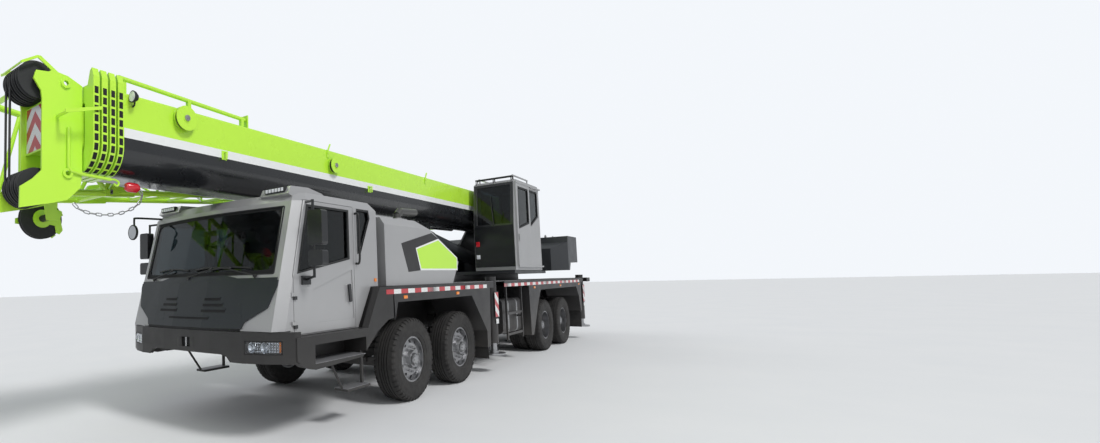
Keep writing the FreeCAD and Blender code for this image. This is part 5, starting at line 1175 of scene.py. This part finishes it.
GUARD_CENTRE = (4.013, 2.233)  # station and height of the small sheave below the head
GUARD_ARM = [(0.052, 0.052), (-0.070, 0.060), (-0.150, 0.098), (-0.186, 0.080), (-0.168, 0.010),
             (-0.192, -0.100), (-0.160, -0.142), (-0.126, -0.128), (-0.118, -0.060), (-0.060, -0.052),
             (0.046, -0.060)]
sheave_guard = Form()
sheave_guard.lathe([(0.0, 0.0), (0.0, 0.085), (0.007, 0.085), (0.007, 0.0)],
                   (GUARD_CENTRE[0], -0.4125, GUARD_CENTRE[1]), "Y", 36, 0)
sheave_guard.plate(flip([(GUARD_CENTRE[0] + x, GUARD_CENTRE[1] + z) for x, z in GUARD_ARM]), "Y",
                   -0.4120, -0.4060, 0)
sheave_guard.lathe([(0.0, 0.0), (0.0, 0.030), (0.010, 0.026), (0.012, 0.0)],
                   (GUARD_CENTRE[0], -0.4060, GUARD_CENTRE[1]), "Y", 24, 1)
sheave_guard.finish("head_sheave_guard", "section_5", green, plastic)

jib_pins = Form()
for across in (-0.56, -1.18):
    for height in (2.76, 3.357):
        for station in (0.968, 1.032):
            jib_pins.sweep([(station, across - 0.062, height), (station, across + 0.062, height)],
                           0.016, 12)
            jib_pins.lathe([(-0.006, 0.0), (-0.006, 0.024), (0.006, 0.024), (0.006, 0.0)],
                           (station, across - 0.050, height), "Y", 16)
    for height in (2.600, 2.578):
        jib_pins.sweep([(3.252, across - 0.056, height), (3.252, across + 0.056, height)], 0.014, 12)
jib_pins.finish("jib_pins", "boom", steel)

head_ropes = Form()
for across in (-0.130, -0.045):
    wrap = []
    for step in range(0, 15):
        angle = math.radians(190 - step * 14)
        wrap.append((4.300 + 0.144 * math.cos(angle), across, 3.345 + 0.144 * math.sin(angle)))
    below = []
    for step in range(0, 12):
        angle = math.radians(-6 - step * 14)
        below.append((4.300 + 0.142 * math.cos(angle), across, 2.430 + 0.142 * math.sin(angle)))
    head_ropes.sweep(wrap + below, ROPE_RADIUS, 8)
head_ropes.finish("head_ropes", "section_5", rope_wire)


def chain(form, points, link_length, wire, look):
    """Oval links along a line, each a quarter turn from the last."""
    spots = [Vector(p) for p in points]
    lengths = [0.0]
    for a, b in zip(spots, spots[1:]):
        lengths.append(lengths[-1] + (b - a).length)
    count = int(lengths[-1] / (link_length - 2.2 * wire))
    for number in range(count):
        goal = lengths[-1] * (number + 0.5) / count
        for i, (start, end) in enumerate(zip(lengths, lengths[1:])):
            if start <= goal <= end:
                share = (goal - start) / (end - start)
                middle = spots[i].lerp(spots[i + 1], share)
                ahead = (spots[i + 1] - spots[i]).normalized()
                break
        wide = ahead.cross(Vector((0.03, 1, 0))).normalized()
        if number % 2:
            wide = ahead.cross(wide).normalized()
        outline = []
        half = link_length / 2 - wire - 0.012
        for step in range(17):
            angle = 2 * math.pi * step / 16
            bend = half if math.cos(angle) > 0 else -half
            outline.append(middle + ahead * (bend + 0.012 * math.cos(angle))
                           + wide * 0.012 * math.sin(angle))
        form.sweep(outline, wire, 6, look)


overhaul = Form()
overhaul.sweep([(4.070, 0.236, 2.960), (4.070, 0.236, 2.620), (4.050, 0.236, 2.585), (3.947, 0.236, 2.568),
                (3.681, 0.236, 2.556)], 0.016, 12, 0)
overhaul.sweep(arc([(3.681, 0.236, 2.556), (3.640, 0.236, 2.560), (3.600, 0.236, 2.540),
                    (3.615, 0.236, 2.505), (3.650, 0.236, 2.520)], 6), 0.010, 10, 0)
# The weight's body takes the red lamp material and so glows faintly: a painted glow, as the weight is no lamp
overhaul.lathe([(0.075, 0.0), (0.070, 0.030), (0.045, 0.046), (-0.045, 0.046), (-0.070, 0.030),
                (-0.075, 0.0)], (3.463, 0.236, 2.508), "X", 32, 2)
overhaul.sweep([(3.538, 0.236, 2.508), (3.600, 0.236, 2.512)], 0.008, 8, 1)
HANG = [(3.388, 0.236, 2.500), (3.36, 0.240, 2.440), (3.42, 0.244, 2.340), (3.56, 0.248, 2.262),
        (3.72, 0.250, 2.225), (3.86, 0.250, 2.225), (3.97, 0.250, 2.250), (4.036, 0.246, 2.300)]
chain(overhaul, arc(HANG, 8), 0.066, 0.005, 1)
overhaul.finish("overhaul_weight", "section_5", green, steel, red_lamp_and_painted_glow)

# Inside the driver's cab: dashboard, wheel and seats in place of the plain ones

DASH = [(2.085, 1.480), (2.175, 1.110), (2.390, 1.110), (2.390, 1.545), (2.320, 1.628), (2.130, 1.632)]
dash = Form()
dash.plate(flip(DASH), "Y", -1.080, 1.080, 0)
for low, high in (((2.115, 0.40, 1.625), (2.200, 0.86, 1.700)), ((2.110, -0.12, 1.560), (2.140, 0.22, 1.690)),
                  ((2.100, -1.00, 1.330), (2.128, -0.40, 1.450))):
    dash.slab(low, high, 0.012, 0)
for number in range(4):
    dash.slab((2.106, -0.36 + number * 0.055, 1.585), (2.122, -0.32 + number * 0.055, 1.615), 0.004, 1)
dash.lathe([(-0.010, 0.0), (-0.010, 0.052), (0.004, 0.056), (0.004, 0.0)], (2.118, 0.55, 1.668), "X", 28, 1)
dash.lathe([(-0.010, 0.0), (-0.010, 0.052), (0.004, 0.056), (0.004, 0.0)], (2.118, 0.69, 1.668), "X", 28, 1)
dash.sweep([(2.160, 0.62, 1.480), (1.975, 0.62, 1.706)], 0.030, 16, 0)
rim_points, rim_axis = [], Vector((-205, 0, 250)).normalized()
rim_side = Vector((0, 1, 0))
rim_up = rim_axis.cross(rim_side)
for step in range(41):
    angle = 2 * math.pi * step / 40
    rim_points.append(Vector((1.955, 0.62, 1.730)) + (rim_side * math.cos(angle)
                                                       + rim_up * math.sin(angle)) * 0.215)
dash.sweep(rim_points, 0.016, 12, 0)
for angle in (0.35, math.pi - 0.35, -math.pi / 2):
    tip = Vector((1.955, 0.62, 1.730)) + (rim_side * math.cos(angle) + rim_up * math.sin(angle)) * 0.205
    dash.sweep([Vector((1.955, 0.62, 1.730)) - rim_axis * 0.012, tip], 0.014, 8, 0)
dash.lathe([(-0.020, 0.0), (-0.020, 0.060), (0.012, 0.070), (0.022, 0.050), (0.026, 0.0)],
           (1.960, 0.62, 1.728), "X", 24, 0)
dash.sweep(arc([(2.02, 0.18, 1.11), (2.00, 0.20, 1.30), (1.94, 0.21, 1.46)], 5), 0.010, 8, 1)
dash.lathe([(0.0, 0.0), (0.0, 0.022), (0.03, 0.026), (0.05, 0.0)], (1.94, 0.21, 1.455), "Z", 18, 0)
for across in (0.62, -0.62):
    dash.slab((1.42, across - 0.18, 1.105), (1.76, across + 0.18, 1.330), 0.02, 0)
    for number in range(5):
        base = 1.330 + number * 0.014
        dash.slab((1.44 + 0.006 * (number % 2), across - 0.165, base), (1.74, across + 0.165, base + 0.011),
                  0.004, 0)
made = dash.finish("cab_fittings", "carrier", plastic, chrome)
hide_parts("cab_interior")


def cushion(name, body, profile, low, high, look, bolster=0.018, shift=(0.0, 0.0)):
    """A padded pad: a side outline swept across, rounded, with raised side bolsters and a soft surface."""
    columns = 13
    verts = []
    centre = [sum(axis) / len(profile) for axis in zip(*profile)]
    for column in range(columns):
        share = column / (columns - 1)
        edge = abs(2 * share - 1)
        swell = bolster * math.sin(min(1.0, edge * 1.15) * math.pi * 0.5) ** 3
        close = 1.0 - 0.42 * max(0.0, edge - 0.80) / 0.20
        across = low + (high - low) * share
        for x, z in profile:
            away = Vector((x - centre[0], z - centre[1]))
            size = away.length
            moved = away * close * (1 + swell / max(size, 0.001))
            verts.append((centre[0] + moved.x + shift[0], across, centre[1] + moved.y + shift[1]))
    count = len(profile)
    faces = [[i for i in range(count)][::-1], [(columns - 1) * count + i for i in range(count)]]
    for column in range(columns - 1):
        for i in range(count):
            j = (i + 1) % count
            faces.append([column * count + i, column * count + j, (column + 1) * count + j,
                          (column + 1) * count + i])
    form = Form()
    form.add(verts, faces)
    made = form.finish(name, body, look, smooth=180.0)
    soft = made.modifiers.new("soft", "SUBSURF")
    soft.levels = soft.render_levels = 2
    view = bpy.context.evaluated_depsgraph_get()
    done = bpy.data.meshes.new_from_object(made.evaluated_get(view))
    made.modifiers.clear()
    made.data = done
    rng = random.Random(len(name))
    phase = [rng.uniform(0, 6) for _ in range(3)]
    done.calc_loop_triangles()
    for vert in done.vertices:
        place = vert.co
        crease = 0.0012 * math.sin(place.y * 61 + phase[0]) * math.sin(place.x * 47 + phase[1])
        seam = 0.0045 * math.exp(-((math.fmod(abs(place.y - (low + high) / 2), 0.095) - 0.0475) / 0.006) ** 2)
        vert.co += vert.normal * (crease - seam)
    return made


SEAT_PAD = [(1.345, 1.425), (1.55, 1.408), (1.80, 1.415), (1.872, 1.440), (1.880, 1.490), (1.840, 1.520),
            (1.68, 1.508), (1.50, 1.500), (1.38, 1.505)]
SEAT_BACK = [(1.482, 1.500), (1.500, 1.560), (1.455, 1.80), (1.400, 2.06), (1.378, 2.115), (1.335, 2.130),
             (1.292, 2.105), (1.300, 2.02), (1.345, 1.76), (1.385, 1.520), (1.43, 1.490)]
HEAD_PAD = [(1.360, 2.165), (1.372, 2.22), (1.352, 2.275), (1.322, 2.282), (1.296, 2.250), (1.300, 2.19),
            (1.325, 2.160)]
for seat_name, middle in (("driver", 0.62), ("passenger", -0.62)):
    cushion(f"{seat_name}_seat_pad", "carrier", SEAT_PAD, middle - 0.250, middle + 0.250, seat_cloth)
    cushion(f"{seat_name}_seat_back", "carrier", SEAT_BACK, middle - 0.240, middle + 0.240, seat_cloth)
    cushion(f"{seat_name}_headrest", "carrier", HEAD_PAD, middle - 0.130, middle + 0.130, trim_cloth,
            0.004)
    posts = Form()
    for offset in (-0.06, 0.06):
        posts.sweep([(1.335, middle + offset, 2.090), (1.330, middle + offset, 2.190)], 0.008, 8)
    posts.finish(f"{seat_name}_headrest_posts", "carrier", steel)

# The operator's seat lies over its plain solid

OPERATOR_PAD = [(-4.925, 2.215), (-4.70, 2.228), (-4.42, 2.150), (-4.386, 2.200), (-4.384, 2.280),
                (-4.46, 2.312), (-4.62, 2.292), (-4.86, 2.285), (-4.93, 2.270)]
OPERATOR_BACK = [(-4.850, 2.235), (-4.835, 2.300), (-4.885, 2.60), (-4.945, 2.885), (-4.985, 2.925),
                 (-5.050, 2.930), (-5.085, 2.890), (-5.060, 2.70), (-5.030, 2.40), (-5.020, 2.200),
                 (-4.95, 2.190)]
cushion("operator_seat_pad", "superstructure", OPERATOR_PAD, 0.645, 1.135, seat_cloth)
cushion("operator_seat_back", "superstructure", OPERATOR_BACK, 0.648, 1.132, seat_cloth)
SEAT_BASE = [(-4.903, 1.760), (-4.497, 1.760), (-4.497, 2.148), (-4.520, 2.190), (-4.880, 2.210)]
BACK_SHELL = [(-4.985, 2.170), (-5.016, 2.150), (-5.074, 2.890), (-5.056, 2.903)]
CONSOLE = [(-4.353, 1.760), (-4.047, 1.760), (-4.047, 2.353), (-4.353, 2.353)]
covers = Form()
covers.plate(flip(SEAT_BASE), "Y", 0.657, 1.123, 0)
covers.plate(flip(BACK_SHELL), "Y", 0.657, 1.123, 0)
covers.plate(flip(CONSOLE), "Y", 0.757, 1.023, 0)
covers.finish("operator_seat_covers", "superstructure", plastic)
levers = Form()
for number, across in enumerate((0.80, 0.86, 0.92, 0.98)):
    levers.sweep([(-4.20, across, 2.345), (-4.205, across, 2.420)], 0.006, 8, 1)
    levers.lathe([(0.0, 0.0), (0.004, 0.014), (0.022, 0.017), (0.034, 0.0)], (-4.205, across, 2.415), "Z", 14)
levers.slab((-4.12, 0.80, 2.345), (-4.08, 0.98, 2.47), 0.01, 0)
levers.finish("operator_levers", "superstructure", plastic, steel)

# Stage: camera at the photograph's left view, pale floor and soft lamps

PHOTO_WIDTH, PHOTO_HEIGHT = 1100, 443
FOCAL_PX = 527.4
CENTRE_PX = (308.4, 246.5)
CAMERA_AT = at(6.18, 4.70, 1.57)
CAMERA_YAW, CAMERA_PITCH, CAMERA_ROLL = (math.radians(a) for a in (-139.84, 3.86, -1.49))

camera = bpy.data.objects.new("camera", bpy.data.cameras.new("camera"))
bpy.context.scene.collection.objects.link(camera)
bpy.context.scene.camera = camera
camera.data.sensor_width = 36.0
camera.data.lens = FOCAL_PX / PHOTO_WIDTH * 36.0
camera.data.shift_x = (PHOTO_WIDTH / 2 - CENTRE_PX[0]) / PHOTO_WIDTH
camera.data.shift_y = (CENTRE_PX[1] - PHOTO_HEIGHT / 2) / PHOTO_WIDTH
camera.data.clip_end = 400
forward = Vector((math.cos(CAMERA_YAW) * math.cos(CAMERA_PITCH),
                  math.sin(CAMERA_YAW) * math.cos(CAMERA_PITCH), math.sin(CAMERA_PITCH)))
level = Vector((math.sin(CAMERA_YAW), -math.cos(CAMERA_YAW), 0))
upright = level.cross(forward)
right = level * math.cos(CAMERA_ROLL) + upright * math.sin(CAMERA_ROLL)
up = right.cross(forward)
turn = Matrix((right, up, -forward)).transposed().to_4x4()
camera.matrix_world = Matrix.Translation(CAMERA_AT) @ turn


def backdrop_material():
    """Pale floor that stays pale to the camera and catches the object's shadow."""
    made, tree, shader, place = new_material("pale_floor")
    tree.links.new(mix(tree, noise(tree, place, 0.8, 8.0), (0.74, 0.75, 0.76), (0.80, 0.80, 0.80)),
                   shader.inputs["Base Color"])
    shader.inputs["Roughness"].default_value = 0.85
    return made


FLOOR_REACH = 120.0
floor_mesh = bpy.data.meshes.new("floor")
floor_mesh.from_pydata([(-FLOOR_REACH, -FLOOR_REACH, 0), (FLOOR_REACH, -FLOOR_REACH, 0),
                        (FLOOR_REACH, FLOOR_REACH, 0), (-FLOOR_REACH, FLOOR_REACH, 0)], [],
                       [(0, 1, 2, 3)])
floor = bpy.data.objects.new("floor", floor_mesh)
bpy.context.scene.collection.objects.link(floor)
floor_mesh.materials.append(backdrop_material())

world = bpy.data.worlds.new("studio")
bpy.context.scene.world = world
world.use_nodes = True
tree = world.node_tree
tree.nodes.clear()
light_path = tree.nodes.new("ShaderNodeLightPath")
soft = tree.nodes.new("ShaderNodeBackground")
soft.inputs["Color"].default_value = (0.92, 0.96, 1.0, 1)
soft.inputs["Strength"].default_value = 0.48
seen = tree.nodes.new("ShaderNodeBackground")
seen.inputs["Color"].default_value = (0.90, 0.93, 0.97, 1)
seen.inputs["Strength"].default_value = 1.0
visible = math_node(tree, "ADD", light_path.outputs["Is Camera Ray"],
                    light_path.outputs["Is Transmission Ray"])
shown = tree.nodes.new("ShaderNodeMixShader")
tree.links.new(visible, shown.inputs[0])
tree.links.new(soft.outputs[0], shown.inputs[1])
tree.links.new(seen.outputs[0], shown.inputs[2])
output = tree.nodes.new("ShaderNodeOutputWorld")
tree.links.new(shown.outputs[0], output.inputs["Surface"])


def area_lamp(name, place, target, size, power):
    """A soft rectangular lamp aimed at a point."""
    data = bpy.data.lights.new(name, "AREA")
    data.shape = "SQUARE"
    data.size = size
    data.energy = power
    made = bpy.data.objects.new(name, data)
    bpy.context.scene.collection.objects.link(made)
    made.location = place
    made.rotation_euler = (Vector(target) - Vector(place)).to_track_quat("-Z", "Y").to_euler()


def distant_lamp(name, towards, strength, spread):
    """Even light over object and floor from a direction, its shadows softened by its spread in degrees."""
    data = bpy.data.lights.new(name, "SUN")
    data.energy = strength
    data.angle = math.radians(spread)
    made = bpy.data.objects.new(name, data)
    bpy.context.scene.collection.objects.link(made)
    made.rotation_euler = Vector(towards).to_track_quat("Z", "Y").to_euler()


distant_lamp("key", (0.06, 0.88, 0.88), 1.85, 14.0)
distant_lamp("fill", (0.4, -0.9, 0.9), 0.36, 30.0)
area_lamp("gloss", (10.0, 9.0, 6.5), (0.8, 0.4, 1.6), 5.0, 110)

bpy.context.scene.view_settings.view_transform = "Standard"
